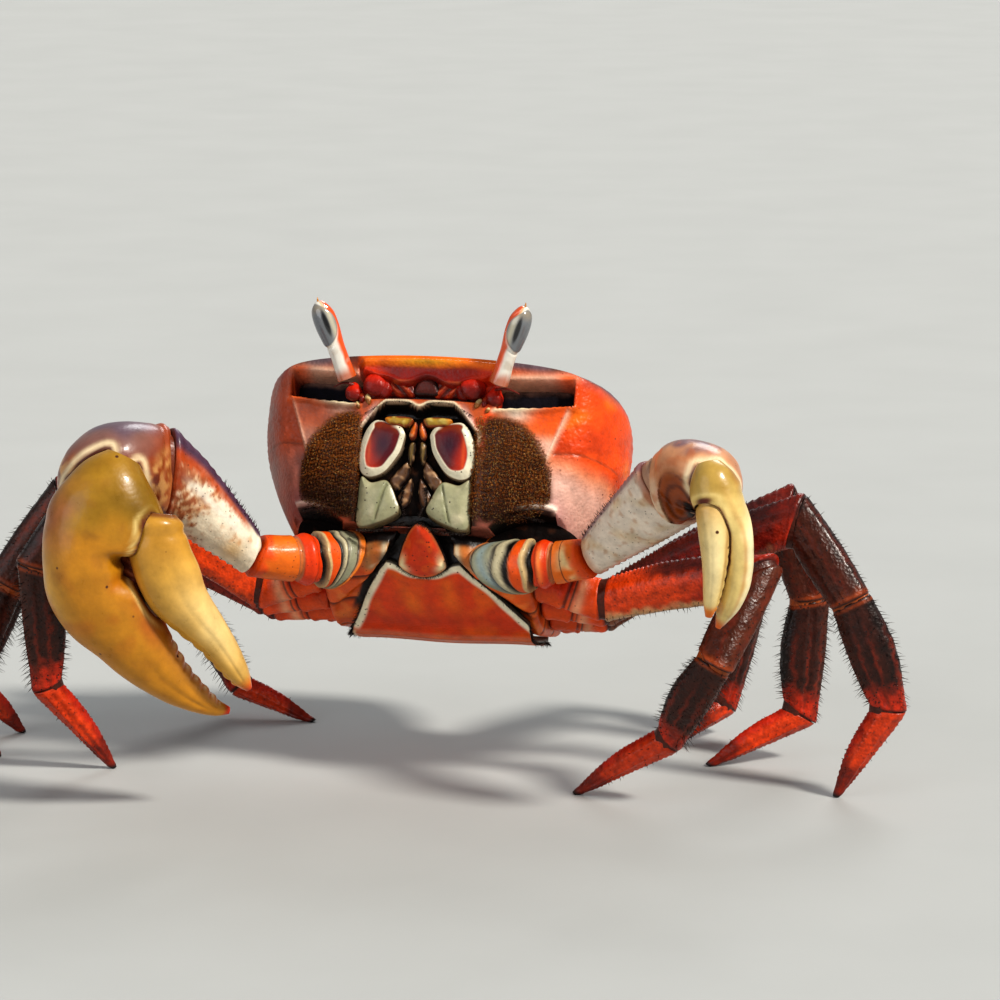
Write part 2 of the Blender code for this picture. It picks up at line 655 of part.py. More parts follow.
def stand_on_centre(root):
    """Moves the whole crab so that the middle of its footprint lies over the origin."""
    bpy.context.view_layer.update()
    low_x = low_y = 1e9
    high_x = high_y = -1e9
    for thing in bpy.data.objects:
        if thing.type != "MESH" or thing.hide_render:
            continue
        for vertex in thing.data.vertices:
            place = thing.matrix_world @ vertex.co
            low_x = min(low_x, place.x)
            high_x = max(high_x, place.x)
            low_y = min(low_y, place.y)
            high_y = max(high_y, place.y)
    root.location = (-(low_x + high_x) / 2, -(low_y + high_y) / 2, 0)


clear_scene()
crab = bpy.data.objects.new("crab_root", None)
bpy.context.collection.objects.link(crab)
carapace = make_carapace(crab)
cut_face(carapace, crab)
make_thorax(crab)
make_pleon(crab)
make_telson(crab)
for side_name, side_sign in (("left", 1), ("right", -1)):
    make_mouthpart(side_sign, side_name, crab)
    make_eye(side_sign, side_name, crab)
    make_antenna(side_sign, side_name, crab)
    make_claw(side_name, side_sign, crab)
    for leg_number in (2, 3, 4, 5):
        make_leg(side_name, leg_number, side_sign, crab)
stand_on_centre(crab)
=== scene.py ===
import bmesh
import bpy
import math
from math import pi
import numpy as np
from mathutils import Matrix, Vector, noise
from mathutils.bvhtree import BVHTree


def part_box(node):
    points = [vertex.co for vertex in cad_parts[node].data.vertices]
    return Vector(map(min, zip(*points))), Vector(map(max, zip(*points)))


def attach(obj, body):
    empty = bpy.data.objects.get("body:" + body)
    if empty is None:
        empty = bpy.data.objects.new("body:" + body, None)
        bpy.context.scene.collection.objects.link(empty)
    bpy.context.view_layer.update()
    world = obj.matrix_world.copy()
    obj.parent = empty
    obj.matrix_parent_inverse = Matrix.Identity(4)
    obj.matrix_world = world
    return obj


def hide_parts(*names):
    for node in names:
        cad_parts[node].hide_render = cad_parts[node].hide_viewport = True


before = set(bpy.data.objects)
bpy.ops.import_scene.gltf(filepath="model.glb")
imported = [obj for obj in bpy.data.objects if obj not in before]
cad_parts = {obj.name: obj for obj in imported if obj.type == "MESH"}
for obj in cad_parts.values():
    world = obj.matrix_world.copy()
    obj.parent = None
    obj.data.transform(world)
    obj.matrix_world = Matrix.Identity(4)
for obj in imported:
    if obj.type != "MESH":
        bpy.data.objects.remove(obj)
for spare in ("Cube", "Light", "Camera"):
    if spare in bpy.data.objects:
        bpy.data.objects.remove(bpy.data.objects[spare])
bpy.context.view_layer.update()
mm = 0.001                     # every length below is in millimetres

# How the crab stands. Its own frame has x across (+ is the crab's left), f forward and u up.
stance = {
    "noseUp": 36.0,
    "turn": -14.0,
    "roll": -0.2,
    "height": 87.0,                            # the body's middle over the floor
    "aheadOfShellMiddle": (-0.0377, -3.8056),  # from the middle of the carapace's box
}
bothSides = (("left", 1), ("right", -1))
shellLow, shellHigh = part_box("carapace")
shellMiddle = (np.array(shellLow) + np.array(shellHigh)) / 2 / mm
bodyOrigin = np.array([shellMiddle[0] + stance["aheadOfShellMiddle"][0],
                       shellMiddle[1] + stance["aheadOfShellMiddle"][1], stance["height"]])
bodyTurn = np.array(Matrix.Rotation(math.radians(stance["turn"]), 3, "Z")
                    @ Matrix.Rotation(math.radians(-stance["noseUp"]), 3, "X")
                    @ Matrix.Rotation(math.radians(stance["roll"]), 3, "Y"))
bodyFlip = np.array([1.0, -1.0, 1.0])
standing = bodyOrigin - np.array([0, 0, stance["height"]])   # where the crab's own floor plan lies


# Shapes
def toWorld(points):
    return (np.asarray(points, float) * bodyFlip) @ bodyTurn.T + bodyOrigin


def toBody(points):
    return ((np.asarray(points, float) - bodyOrigin) @ bodyTurn) * bodyFlip


def bodyWay(x, f, u):
    return unit(bodyTurn @ np.array([x, -f, u], float))


def columns(*parts):
    return np.stack(parts, -1)


def worldWays(ways):
    return unit((ways * bodyFlip) @ bodyTurn.T)


def unit(v):
    return v / np.maximum(np.linalg.norm(v, axis=-1, keepdims=True), 1e-9)


def ramp(value, low, high):
    t = np.clip((value - low) / (high - low), 0, 1)
    return t * t * (3 - 2 * t)


def bell(value, middle, width):
    return np.exp(-((value - middle) / width) ** 2)


def softNoise(points, size, seed=0):
    # noise from about -1 to 1 whose lumps are size across
    shift = Vector((seed * 7.1, seed * 3.7, seed * 5.3))
    return np.array([noise.noise(Vector(p) / size + shift) for p in points.reshape(-1, 3)])


def grains(points, size, seed=0):
    # rounded granules, 1 on top of each and 0 between them
    shift = Vector((seed * 7.1, seed * 3.7, seed * 5.3))
    gaps = np.array([noise.voronoi(Vector(p) / size + shift)[0][0] for p in points])
    return 1 - np.clip(gaps / 0.6, 0, 1) ** 2


def gridFaces(rows, sides, wrap=False, start=0):
    row = np.arange(rows - 1)[:, None]
    column = np.arange(sides if wrap else sides - 1)[None, :]
    here = start + row * sides + column
    there = start + row * sides + (column + 1) % sides
    return columns(here, there, there + sides, here + sides).reshape(-1, 4).tolist()


def curveThrough(values, places):
    # rounded curve through evenly spaced values, places from 0 to 1
    values = np.asarray(values, float)
    spot = np.clip(places, 0, 1) * (len(values) - 1)
    index = np.minimum(spot.astype(int), len(values) - 2)
    part = (spot - index)[:, None]
    before, here = values[np.maximum(index - 1, 0)], values[index]
    there, beyond = values[index + 1], values[np.minimum(index + 2, len(values) - 1)]
    first, second = (there - before) / 2, (beyond - here) / 2
    return (here * (2 * part ** 3 - 3 * part ** 2 + 1) + first * (part ** 3 - 2 * part ** 2 + part)
            + there * (3 * part ** 2 - 2 * part ** 3) + second * (part ** 3 - part ** 2))


def closedCurve(corners, count):
    corners = [tuple(c) for c in corners]
    n = len(corners)
    return curveThrough(corners[-2:] + corners + corners[:3],
                        (2 + np.arange(count) * n / count) / (n + 4))


def edgeDistance(points, outline):
    # how far each flat point lies inside the outline; outside is negative
    points, outline = np.asarray(points, float), np.asarray(outline, float)
    after = np.roll(outline, -1, axis=0)
    nearest = np.full(len(points), 1e9)
    inside = np.zeros(len(points), bool)
    for a, b in zip(outline, after):
        run = b - a
        share = np.clip(((points - a) @ run) / max(run @ run, 1e-12), 0, 1)
        nearest = np.minimum(nearest, np.linalg.norm(points - a - share[:, None] * run, axis=1))
        if a[1] != b[1]:
            crosses = (a[1] > points[:, 1]) != (b[1] > points[:, 1])
            inside ^= crosses & (points[:, 0] < a[0] + (points[:, 1] - a[1]) * run[0] / run[1])
    return np.where(inside, nearest, -nearest)


# Colours and pieces
def linearColour(code):
    parts = np.array([int(code[i:i + 2], 16) / 255 for i in (1, 3, 5)])
    return np.where(parts <= 0.04045, parts / 12.92, ((parts + 0.055) / 1.055) ** 2.4)


def basePaint(code, count):
    return np.tile(linearColour(code), (count, 1))


def paintOver(paint, code, mask):
    return paint + (linearColour(code) - paint) * np.clip(mask, 0, 1)[:, None]


def coats(paint, *layers):
    # thin coats of colour one over the other: each is its colour and where it lies
    for code, mask in layers:
        paint = paintOver(paint, code, mask)
    return paint


def makeShape(name, points, faces, material, paint, spots=0, uv=None):
    # a smooth painted mesh; spots says how thickly pores may stand, uv places it on OFBake
    mesh = bpy.data.meshes.new(name)
    mesh.from_pydata((np.asarray(points) * mm).tolist(), [], faces)
    mesh.validate()
    colours = np.hstack([paint, np.ones((len(paint), 1))]).astype(np.float32)
    mesh.attributes.new("paint", "FLOAT_COLOR", "POINT").data.foreach_set("color", colours.ravel())
    spots = np.full(len(points), spots, np.float32)
    mesh.attributes.new("spots", "FLOAT", "POINT").data.foreach_set("value", spots)
    if uv is not None:
        corners = np.zeros(len(mesh.loops), int)
        mesh.loops.foreach_get("vertex_index", corners)
        mesh.uv_layers.new(name="OFBake").data.foreach_set("uv", uv[corners].astype(np.float32).ravel())
    shape = bmesh.new()
    shape.from_mesh(mesh)
    if uv is None:
        bmesh.ops.recalc_face_normals(shape, faces=shape.faces)
    for face in shape.faces:
        face.smooth = True
    shape.to_mesh(mesh)
    shape.free()
    mesh.materials.append(material)
    made = bpy.data.objects.new(name, mesh)
    bpy.context.collection.objects.link(made)
    return made


def makePiece(name, points, faces, material, paint, spots=0, uv=None, nodes=()):
    piece = makeShape(name, points, faces, material, paint, spots, uv)
    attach(piece, "root")
    if nodes:
        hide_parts(*nodes)
    return piece


def coverNode(node, points, faces, material, paint, spots=0):
    # the finished piece that stands in for one CAD node
    return makePiece(node + "_shell", points, faces, material, paint, spots, nodes=[node])


def withEnds(values):
    # values for a tube's points, carried over to the two points that close it
    return np.concatenate([values, values[[0, -1]]])


def relax(points, here, there, amount, times):
    # pulls each point towards the middle of its neighbours; here and there are the two ends of each edge
    count = np.bincount(here, minlength=len(points))[:, None]
    for step in range(times):
        total = np.stack([np.bincount(here, weights=points[there, k], minlength=len(points))
                          for k in range(3)], -1)
        points += (total / count - points) * amount


def closeTube(points):
    # faces of a tube, ring by ring, whose two ends shrink to a point; adds the two points
    rings, sides = points.shape[:2]
    flat = points.reshape(-1, 3)
    faces = gridFaces(rings, sides, wrap=True)
    first, last = len(flat), len(flat) + 1
    flat = np.vstack([flat, points[0].mean(0), points[-1].mean(0)])
    for side in range(sides):
        after = (side + 1) % sides
        faces.append([after, side, first])
        faces.append([(rings - 1) * sides + side, (rings - 1) * sides + after, last])
    return flat, faces


# Materials
def addNode(tree, kind, inputs=None, **settings):
    node = tree.nodes.new(kind)
    for key, value in settings.items():
        setattr(node, key, value)
    for socket, value in (inputs or {}).items():
        if isinstance(value, bpy.types.NodeSocket):
            tree.links.new(value, node.inputs[socket])
        else:
            node.inputs[socket].default_value = value
    return node


def perMetre(size):
    return 1 / (size * mm)     # pattern scale from the real size of one cell


def shellMaterial(name, look):
    # The broad colours come from each piece's own paint; the nodes add mottling, pores, grain and gloss.
    material = bpy.data.materials.new(name)
    material.use_nodes = True
    tree = material.node_tree
    surface = tree.nodes["Principled BSDF"]
    surface.inputs["IOR"].default_value = look.get("ior", 1.54)
    surface.inputs["Specular IOR Level"].default_value = look.get("shine", 0.28)
    surface.inputs["Coat Weight"].default_value = look.get("varnish", 0.0)
    surface.inputs["Coat Roughness"].default_value = look.get("varnishRoughness", 0.12)
    place = addNode(tree, "ShaderNodeTexCoord").outputs["Object"]
    paint = addNode(tree, "ShaderNodeAttribute", attribute_name="paint").outputs["Color"]
    cloud = addNode(tree, "ShaderNodeTexNoise", {"Vector": place, "Scale": perMetre(look["mottleSize"]),
                                                 "Detail": 4.0, "Roughness": 0.62}).outputs["Fac"]
    shade = addNode(tree, "ShaderNodeMapRange", {"Value": cloud, "From Min": 0.3, "From Max": 0.7,
                    "To Min": 1 - look["mottle"], "To Max": 1 + look["mottle"] * 0.7}).outputs["Result"]
    colour = addNode(tree, "ShaderNodeVectorMath", {0: paint, "Scale": shade}, operation="SCALE").outputs[0]
    if "spotSize" in look:
        cells = addNode(tree, "ShaderNodeTexVoronoi",
            {"Vector": place, "Scale": perMetre(look["spotSize"])})
        dot = addNode(tree, "ShaderNodeMapRange", {"Value": cells.outputs["Distance"],
            "From Min": look["spotFill"], "From Max": look["spotFill"] * 0.6}).outputs["Result"]
        some = addNode(tree, "ShaderNodeMath", {0: cells.outputs["Color"], 1: look["spotShare"]},
            operation="LESS_THAN")
        allowed = addNode(tree, "ShaderNodeAttribute", attribute_name="spots").outputs["Fac"]
        both = addNode(tree, "ShaderNodeMath", {0: dot, 1: some.outputs[0]},
            operation="MULTIPLY").outputs[0]
        mask = addNode(tree, "ShaderNodeMath", {0: both, 1: allowed}, operation="MULTIPLY").outputs[0]
        dark = (*linearColour(look["spotColour"]), 1)
        colour = addNode(tree, "ShaderNodeMix", {"Factor": mask, 6: colour, 7: dark},
            data_type="RGBA").outputs[2]
    tree.links.new(colour, surface.inputs["Base Color"])
    gloss = addNode(tree, "ShaderNodeMapRange", {"Value": cloud, "From Min": 0.3, "From Max": 0.7,
                    "To Min": look["roughness"][0], "To Max": look["roughness"][1]}).outputs["Result"]
    tree.links.new(gloss, surface.inputs["Roughness"])
    grain = addNode(tree, "ShaderNodeTexVoronoi", {"Vector": place, "Scale": perMetre(look["grainSize"])},
                    feature="F1").outputs["Distance"]
    fine = addNode(tree, "ShaderNodeTexNoise", {"Vector": place,
        "Scale": perMetre(look["grainSize"] * 0.45), "Detail": 1.0}).outputs["Fac"]
    first = addNode(tree, "ShaderNodeBump", {"Height": grain, "Distance": look["grainDepth"] * mm,
        "Strength": 1.0}, invert=look.get("raised", True)).outputs["Normal"]
    second = addNode(tree, "ShaderNodeBump", {"Height": fine, "Distance": look["grainDepth"] * 0.5 * mm,
                                              "Strength": 0.8, "Normal": first}).outputs["Normal"]
    tree.links.new(second, surface.inputs["Normal"])
    return material


# Calcified crab shell, grown with fine granules: satin with tiny glints and cloudy colour.
granularShell = shellMaterial("calcifiedShellGranular", {
    "mottleSize": 5.0, "mottle": 0.3, "grainSize": 0.9, "grainDepth": 0.12,
    "roughness": (0.34, 0.5), "varnish": 0.08, "varnishRoughness": 0.16,
    "spotSize": 1.6, "spotFill": 0.2, "spotShare": 0.3, "spotColour": "#5a1c0c"})
# The same shell worn smooth on the claws: ivory gloss with soft clouds and a few dark pores.
polishedShell = shellMaterial("calcifiedShellPolished", {
    "mottleSize": 6.0, "mottle": 0.2, "grainSize": 1.3, "grainDepth": 0.035,
    "roughness": (0.26, 0.4), "varnish": 0.2, "varnishRoughness": 0.12,
    "spotSize": 5.5, "spotFill": 0.10, "spotShare": 0.5, "spotColour": "#4a2410"})
# Belly and mouth plates, thin calcified plate: eggshell gloss pricked with dark hair pores.
porousPlate = shellMaterial("calcifiedPlatePorous", {
    "mottleSize": 3.5, "mottle": 0.2, "grainSize": 0.8, "grainDepth": 0.05,
    "roughness": (0.32, 0.46), "varnish": 0.1, "varnishRoughness": 0.15,
    "spotSize": 1.3, "spotFill": 0.19, "spotShare": 0.55, "spotColour": "#26140c"})
# Shell of the walking legs, pitted and waxy: small wet glints over a dark broken ground.
pittedShell = shellMaterial("calcifiedShellPitted", {
    "mottleSize": 2.4, "mottle": 0.45, "grainSize": 0.8, "grainDepth": 0.11, "raised": False,
    "roughness": (0.28, 0.5), "varnish": 0.12, "varnishRoughness": 0.16,
    "spotSize": 1.1, "spotFill": 0.28, "spotShare": 0.4, "spotColour": "#1a0b08"})
# Uncalcified joint cuticle, folded: leathery and dull.
foldedCuticle = shellMaterial("jointCuticleFolded", {
    "mottleSize": 1.8, "mottle": 0.35, "grainSize": 0.6, "grainDepth": 0.12,
    "roughness": (0.45, 0.65), "varnish": 0.04})
# Painted shade for the mouth, orbits and sockets: a sheet set back where they lie in shade, dull and nearly
# black.
shadeSheet = shellMaterial("paintedShadeSheet", {
    "mottleSize": 2.5, "mottle": 0.5, "grainSize": 0.8, "grainDepth": 0.1,
    "roughness": (0.7, 0.9), "varnish": 0.0, "ior": 1.4, "shine": 0.15})
# Cornea, clear hard cuticle over dark pigment: wet gloss without grain.
glossyCornea = shellMaterial("corneaPolished", {
    "mottleSize": 4.0, "mottle": 0.08, "grainSize": 0.5, "grainDepth": 0.004,
    "roughness": (0.1, 0.16), "varnish": 0.7, "varnishRoughness": 0.03, "shine": 0.5})
# Chitin bristle, drawn out fine: dark with a narrow sheen.
chitinBristle = shellMaterial("chitinBristle", {
    "mottleSize": 3.0, "mottle": 0.25, "grainSize": 0.6, "grainDepth": 0.01,
    "roughness": (0.3, 0.48), "varnish": 0.1, "shine": 0.4})
print("materials made")

# Carapace, in the crab's own frame
shell = {
    "halfWidth": 50.0, "widestAt": 6.0, "frontReach": 40.0, "rearReach": 60.7,
    "top": 15.8, "topFall": 0.0047, "sideLevel": 1.0, "underside": -30.2, "undersideRise": 0.1,
    "faceLean": 0.33, "faceRound": 0.004, "browForward": 33.0, "browLevel": 10.9,
    "frontRim": 27.0, "rear": -46.0, "tuck": 0.76,
    "across": 250, "up": 120, "slices": 64,
    "orbitMiddle": (28.8, 4.9), "orbitHalf": (9.6, 3.2), "orbitTilt": 0.13, "orbitDepth": 8.5,
    "browHalf": 18.6, "mouthHalf": 14.9, "mouthMiddle": -1.9,
}
# the raised ridge under each orbit, from its outer corner down to the cheek
cheekRidge = [(39.6, 4.9), (37.4, 0.0), (35.4, -5.4), (33.8, -9.6), (32.6, -13.5)]
# the hairy patch beside the mouth
feltOutline = closedCurve([(16.4, -3.0), (22, -1.8), (28, -4.4), (32.6, -10.3), (34.4, -17), (33.2, -23),
                           (26, -27.2), (17.6, -28.4), (15.8, -22), (16.2, -10)], 90)


def faceForward(x, u):
    return shell["browForward"] - shell["faceLean"] * (shell["browLevel"] - u) - shell["faceRound"] * x * x


def shellFloor(f):
    return shell["underside"] + shell["undersideRise"] * (19 - f)


def shellRing(f):
    # one slice of the carapace as four runs: left side up, top, right side down, underside
    reach = shell["frontReach"] if f > shell["widestAt"] else shell["rearReach"]
    width = shell["halfWidth"] * math.sqrt(max(0.0, 1 - ((f - shell["widestAt"]) / reach) ** 2))
    top = shell["top"] - shell["topFall"] * f * f
    low, level = shellFloor(f), shell["sideLevel"]
    square = min(1.0, max(0.0, (f + 20) / 40))
    wide, tall = 0.62 - 0.36 * square, 0.6 - 0.35 * square
    corner = math.radians(35)
    wallRows = int(shell["up"] * 0.7)
    share = np.linspace(0, 1, wallRows, endpoint=False)
    wall = columns(width * (1 - (1 - shell["tuck"]) * (1 - share) ** 1.7), low + (level - low) * share)
    lift = np.linspace(0, math.sin(corner) ** tall, shell["up"] - wallRows)
    angle = np.arcsin(lift ** (1 / tall))
    shoulder = columns(np.cos(angle) ** wide * width, level + (top - level) * lift)
    right = np.vstack([wall, shoulder])
    reachOver = np.linspace(-1, 1, shell["across"]) * shoulder[-1, 0]
    cosine = np.clip((np.abs(reachOver) / width) ** (1 / wide), 0, 1)
    over = columns(reachOver, level + (top - level) * np.sqrt(1 - cosine ** 2) ** tall)
    over[[0, -1], 1] = shoulder[-1, 1]
    under = columns(np.linspace(-1, 1, shell["across"]) * wall[0, 0], np.full(shell["across"], low))
    return right * [-1, 1], over, right, under


def shellPoint(ring, f):
    # the slice in the body's frame; towards the front it leans with the face
    fade = min(1.0, max(0.0, (f + 12) / 39))
    x, u = ring[..., 0], ring[..., 1]
    lean = (faceForward(x, u) - shell["frontRim"]) * fade
    lower = np.clip((shell["sideLevel"] - u) / (shell["sideLevel"] - shellFloor(f)), 0, None)
    return columns(x, f + lean, u - shell["undersideRise"] * lean * lower)


def roundBox(x, u, middle, half, edge):
    return (ramp(half[0] - np.abs(x - middle[0]), -edge, edge)
            * ramp(half[1] - np.abs(u - middle[1]), -edge, edge))


def socketArch(x):
    # the upper edge of the claw's socket; the crab's left one opens wider
    side = np.abs(x)
    rightArch = -25.4 - 0.024 * (34 - side) ** 2
    leftArch = -23.6 - np.where(side > 34, 0.075, 0.024) * (34 - side) ** 2
    return (np.where(x > 0, leftArch, rightArch), ramp(side, 15.5, 17.5)
        * ramp(side, np.where(x > 0, 45.5, 37.5), np.where(x > 0, 44, 36.3)))


def orbitFrame(side, u):
    # height over the orbit's slanting middle level, and where its lower and upper edges lie
    (middleX, middleU), half = shell["orbitMiddle"], shell["orbitHalf"][1]
    return u - shell["orbitTilt"] * (side - middleX), middleU - half - 0.75, middleU + half


def ridgeLine(u):
    return np.interp(u, [p[1] for p in cheekRidge[::-1]], [p[0] for p in cheekRidge[::-1]])


def mouthRim(x):
    # how far across from the mouth's middle line, and how high its upper rim is there
    across = np.abs(x - shell["mouthMiddle"])
    return across, 0.1 - 1.2 * bell(across, 0, 2) - 0.55 * np.clip(across - 9.2, 0, None) ** 1.3


def faceRelief(x, u):
    # how far the face stands out (+) or is sunk (-) from its plain curved plane
    side = np.abs(x)
    flat = columns(side, u)
    out = np.zeros(len(x))
    # orbit: a long slanting pit with a lip above and below
    tilt, lowerLip, upperLip = orbitFrame(side, u)
    orbit = roundBox(side, tilt, shell["orbitMiddle"], shell["orbitHalf"], 0.55)
    out -= orbit * shell["orbitDepth"]
    nearOrbit = ramp(side, 17.5, 20) * ramp(side, 41.5, 38.5)
    out += 1.1 * bell(tilt, lowerLip, 0.75) * nearOrbit
    out += 0.7 * bell(tilt, upperLip + 0.8, 0.8) * nearOrbit
    out += 1.0 * bell(side, 39.4, 0.9) * ramp(tilt, 0.5, 2) * ramp(tilt, 10.5, 8.5)
    # plate under the orbit, raised and ending in a jagged ridge
    ridgeX = ridgeLine(u)
    jag = 0.28 * np.abs(np.sin(u * 4.1)) + 0.16 * np.sin(u * 9.7 + 1)
    within = ridgeX + jag - side
    ridgeFade = ramp(u, -15, -11) * ramp(tilt, lowerLip + 1.5, lowerLip)
    out += ((1.25 * ramp(within, -0.35, 0.3) * ramp(within, 9, 1) + 0.5 * bell(within, 0.4, 0.35))
        * ridgeFade * ramp(side, 19, 24))
    # the brow: turned down over the feelers, scalloped below
    browLow = (5.9 + 0.9 * np.cos(np.clip(side, 0, 18) * 2 * pi / 13) * ramp(side, 17, 9)
        + 2.3 * ramp(side, 11, 18.6))
    brow = (ramp(u, browLow - 0.5, browLow + 0.3) * ramp(side, shell["browHalf"] + 0.8,
        shell["browHalf"] - 0.8))
    out += brow * (0.35 + 0.9 * bell(u, 10.7, 1) + 0.35 * bell(u, browLow + 0.6, 0.5))
    out -= 3.3 * (1 - brow) * ramp(u, 1.2, 2.3) * ramp(side, 19.6, 18.4) * ramp(u, 10.6, 9.6)
    # mouth: rim standing out, then the frame sunk for the mouthparts
    across, rimTop = mouthRim(x)
    mouth = ramp(rimTop - u, -0.2, 0.8) * ramp(across, shell["mouthHalf"] + 1.4, shell["mouthHalf"] + 0.5)
    out -= mouth * 4.2
    beads = 0.75 + 0.25 * np.sin(across * 9)
    out += 0.9 * beads * bell(u, rimTop + 0.55, 0.5) * ramp(across, 17.5, 15)
    # cheeks under the felt swell a little
    out += 1.1 * ramp(edgeDistance(flat, feltOutline), -1.0, 6)
    # crease from the felt out over the side
    crease = -9.3 + 0.17 * (side - 34)
    out -= 0.45 * bell(u, crease, 0.3) * ramp(side, 32.5, 35)
    # arch over the claw's socket, with a rolled lip
    arch, span = socketArch(x)
    out -= ramp(arch - u, -0.2, 0.9) * span * 6.5
    out += 0.9 * bell(u, arch + 0.8, 0.7) * ramp(side, 22, 26) * ramp(side, 46, 43)
    return out


def facePaint(x, f, u, isFace):
    side = np.abs(x)
    flat = columns(side, u)
    tilt, lowerLip, upperLip = orbitFrame(side, u)
    half = shell["mouthHalf"]
    cloud = softNoise(columns(x, f, u), 9, 3)
    litSide = ramp(x, -12, 12)     # the crab's left is the lit side: partly its own brighter orange, partly painted light, with the crab's right painted in shade
    paint = coats(basePaint("#4d3832", len(x)),    # back: purple brown
        ("#6b5560", ramp(cloud, 0, 0.5) * 0.7))
    # sides: orange above, pink then lilac white towards the lower rim; on the crab's right they are painted
    # browner, as painted shade
    wall = ramp(u + 1.5 * cloud, 12.6, 8.5) * ramp(f, -44, -22)
    paint = coats(paint,
        ("#b4481a", wall),
        ("#e04c06", wall * litSide),
        ("#ee780e", wall * litSide * ramp(cloud, 0.1, 0.6) * 0.6),
        ("#b83204", wall * litSide * ramp(cloud, -0.1, -0.5) * 0.5),
        ("#8e4838", wall * (1 - litSide) * ramp(side, 38, 46) * 0.8),
        ("#8a5058", wall * ramp(u + cloud, 7.5, 11) * ramp(side, 34, 42) * 0.6))
    low = wall * ramp(u + 1.2 * cloud, -8, -13.5)
    paint = coats(paint,
        ("#dc9068", low * 0.85 * (0.3 + 0.7 * litSide)),
        ("#d8ac9c", low * ramp(u + cloud, -11, -17) * (0.12 + 0.85 * litSide)),
        ("#94566c", low * ramp(u, -17, -24) * ramp(side, 42, 34) * 0.45),
        ("#8c5650", low * (1 - litSide) * 0.6),
        ("#cc5c28", low * ramp(u, -25.5, -28.5) * 0.6))
    # brow and the pocket of the feelers, whose floor is painted dark as painted shade
    brow = isFace * ramp(side, 20.5, 18.2) * ramp(u, 1, 3)
    paint = coats(paint,
        ("#7c1002", brow),
        ("#d8380a", brow * ramp(side + 2 * cloud, 9, 15) * 0.8),
        ("#e86c0c", brow * ramp(u + 0.6 * cloud, 8.9, 10.2)),
        ("#cc9412", brow * bell(u, 10.5, 0.9) * bell(x, -1, 8) * 0.85),
        ("#a0481c", brow * bell(side, 8.4, 4) * bell(u, 5.7, 0.3) * 0.8),
        ("#140605", isFace * bell(u, 3, 0.5) * ramp(side, 14, 10) * 0.9),
        ("#3a1510", isFace * bell(np.hypot(x, (u - 4.6) * 1.1), 0, 2.9) * 0.85))
    # plate under the orbit: orange outside, cream to pink within; on the crab's right it is painted browner,
    # as painted shade
    ridgeX = ridgeLine(u)
    plate = (isFace * ramp(side, ridgeX + 0.3, ridgeX - 0.5) * ramp(side, 16.5, 20) * ramp(u, -17, -11))
    plate = plate * ramp(tilt, 2.2, 1)
    paint = coats(paint,
        ("#cc6834", plate),
        ("#e0560a", plate * ramp(side + 2 * cloud, 25, 30) * ramp(u + cloud, -8, -2)),
        ("#d8ac98", plate * ramp(u + 1.5 * cloud, -4.5, -9) * 0.85),
        ("#e4d4c0", plate * bell(side, 24, 3.2) * ramp(u, -3.5, -0.5) * 0.8),
        ("#8a4c34", plate * (1 - litSide) * 0.72),
        ("#9a3c10", plate * (1 - litSide) * ramp(cloud, 0, 0.5) * 0.5),
        # a pale line along the jagged ridge: painted highlight, stronger on the lit side
        ("#e9cdb4", isFace * bell(side, ridgeX - 0.2, 0.55) * ramp(u, -14, -9) * ramp(u, 3, 0)
            * (0.3 + 0.35 * litSide)))
    lip = isFace * bell(tilt, lowerLip + 0.2, 0.6) * ramp(side, 16.5, 19) * ramp(side, 41, 38)
    paint = coats(paint,
        ("#efdfb8", lip * ramp(side, 35, 24)),
        ("#dd5f1d", lip * ramp(side, 27, 36)))
    # inside the orbit: near black as painted shade, brown under its upper rim, red at its outer end
    orbit = isFace * roundBox(side, tilt, shell["orbitMiddle"], np.add(shell["orbitHalf"], 0.1), 0.5)
    paint = coats(paint,
        ("#0e0b0e", orbit),
        ("#8a6a5c", orbit * ramp(tilt + 0.5 * cloud, 6.9, 7.9) * 0.9),
        ("#8a2c10", orbit * ramp(side, 36.4, 38) * 0.8))
    upperRim = (isFace * bell(tilt, upperLip + 0.9, 1.3) * ramp(side, 17.5, 21) * ramp(side, 41, 38))
    paint = coats(paint,
        ("#c8a088", upperRim * 0.9),
        ("#d8560e", upperRim * ramp(side, 32, 37) * 0.9))
    # mouth frame
    across, rimTop = mouthRim(x)
    between = isFace * ramp(across, 19, 16.5) * ramp(u, 2.2, 0.8) * ramp(u, -5, -2)
    paint = paintOver(paint, "#b5501f", between)
    rim = isFace * (bell(u, rimTop + 0.6, 0.5) * ramp(across, 17.5, 15)
                    + bell(across, half + 1.9, 0.7) * ramp(u, -4, -6) * ramp(u, -10, -8))
    paint = coats(paint,
        ("#e4d6b4", rim),
        ("#d8b4a8", isFace * bell(across, 13.6, 1.8) * bell(u, rimTop + 1.3, 1.2) * 0.9))
    # the mouth's opening painted near black: painted shade
    mouth = isFace * ramp(rimTop - u, -0.35, 0.05) * ramp(across, half + 1.4, half + 0.9)
    paint = paintOver(paint, "#0d0705", mouth)
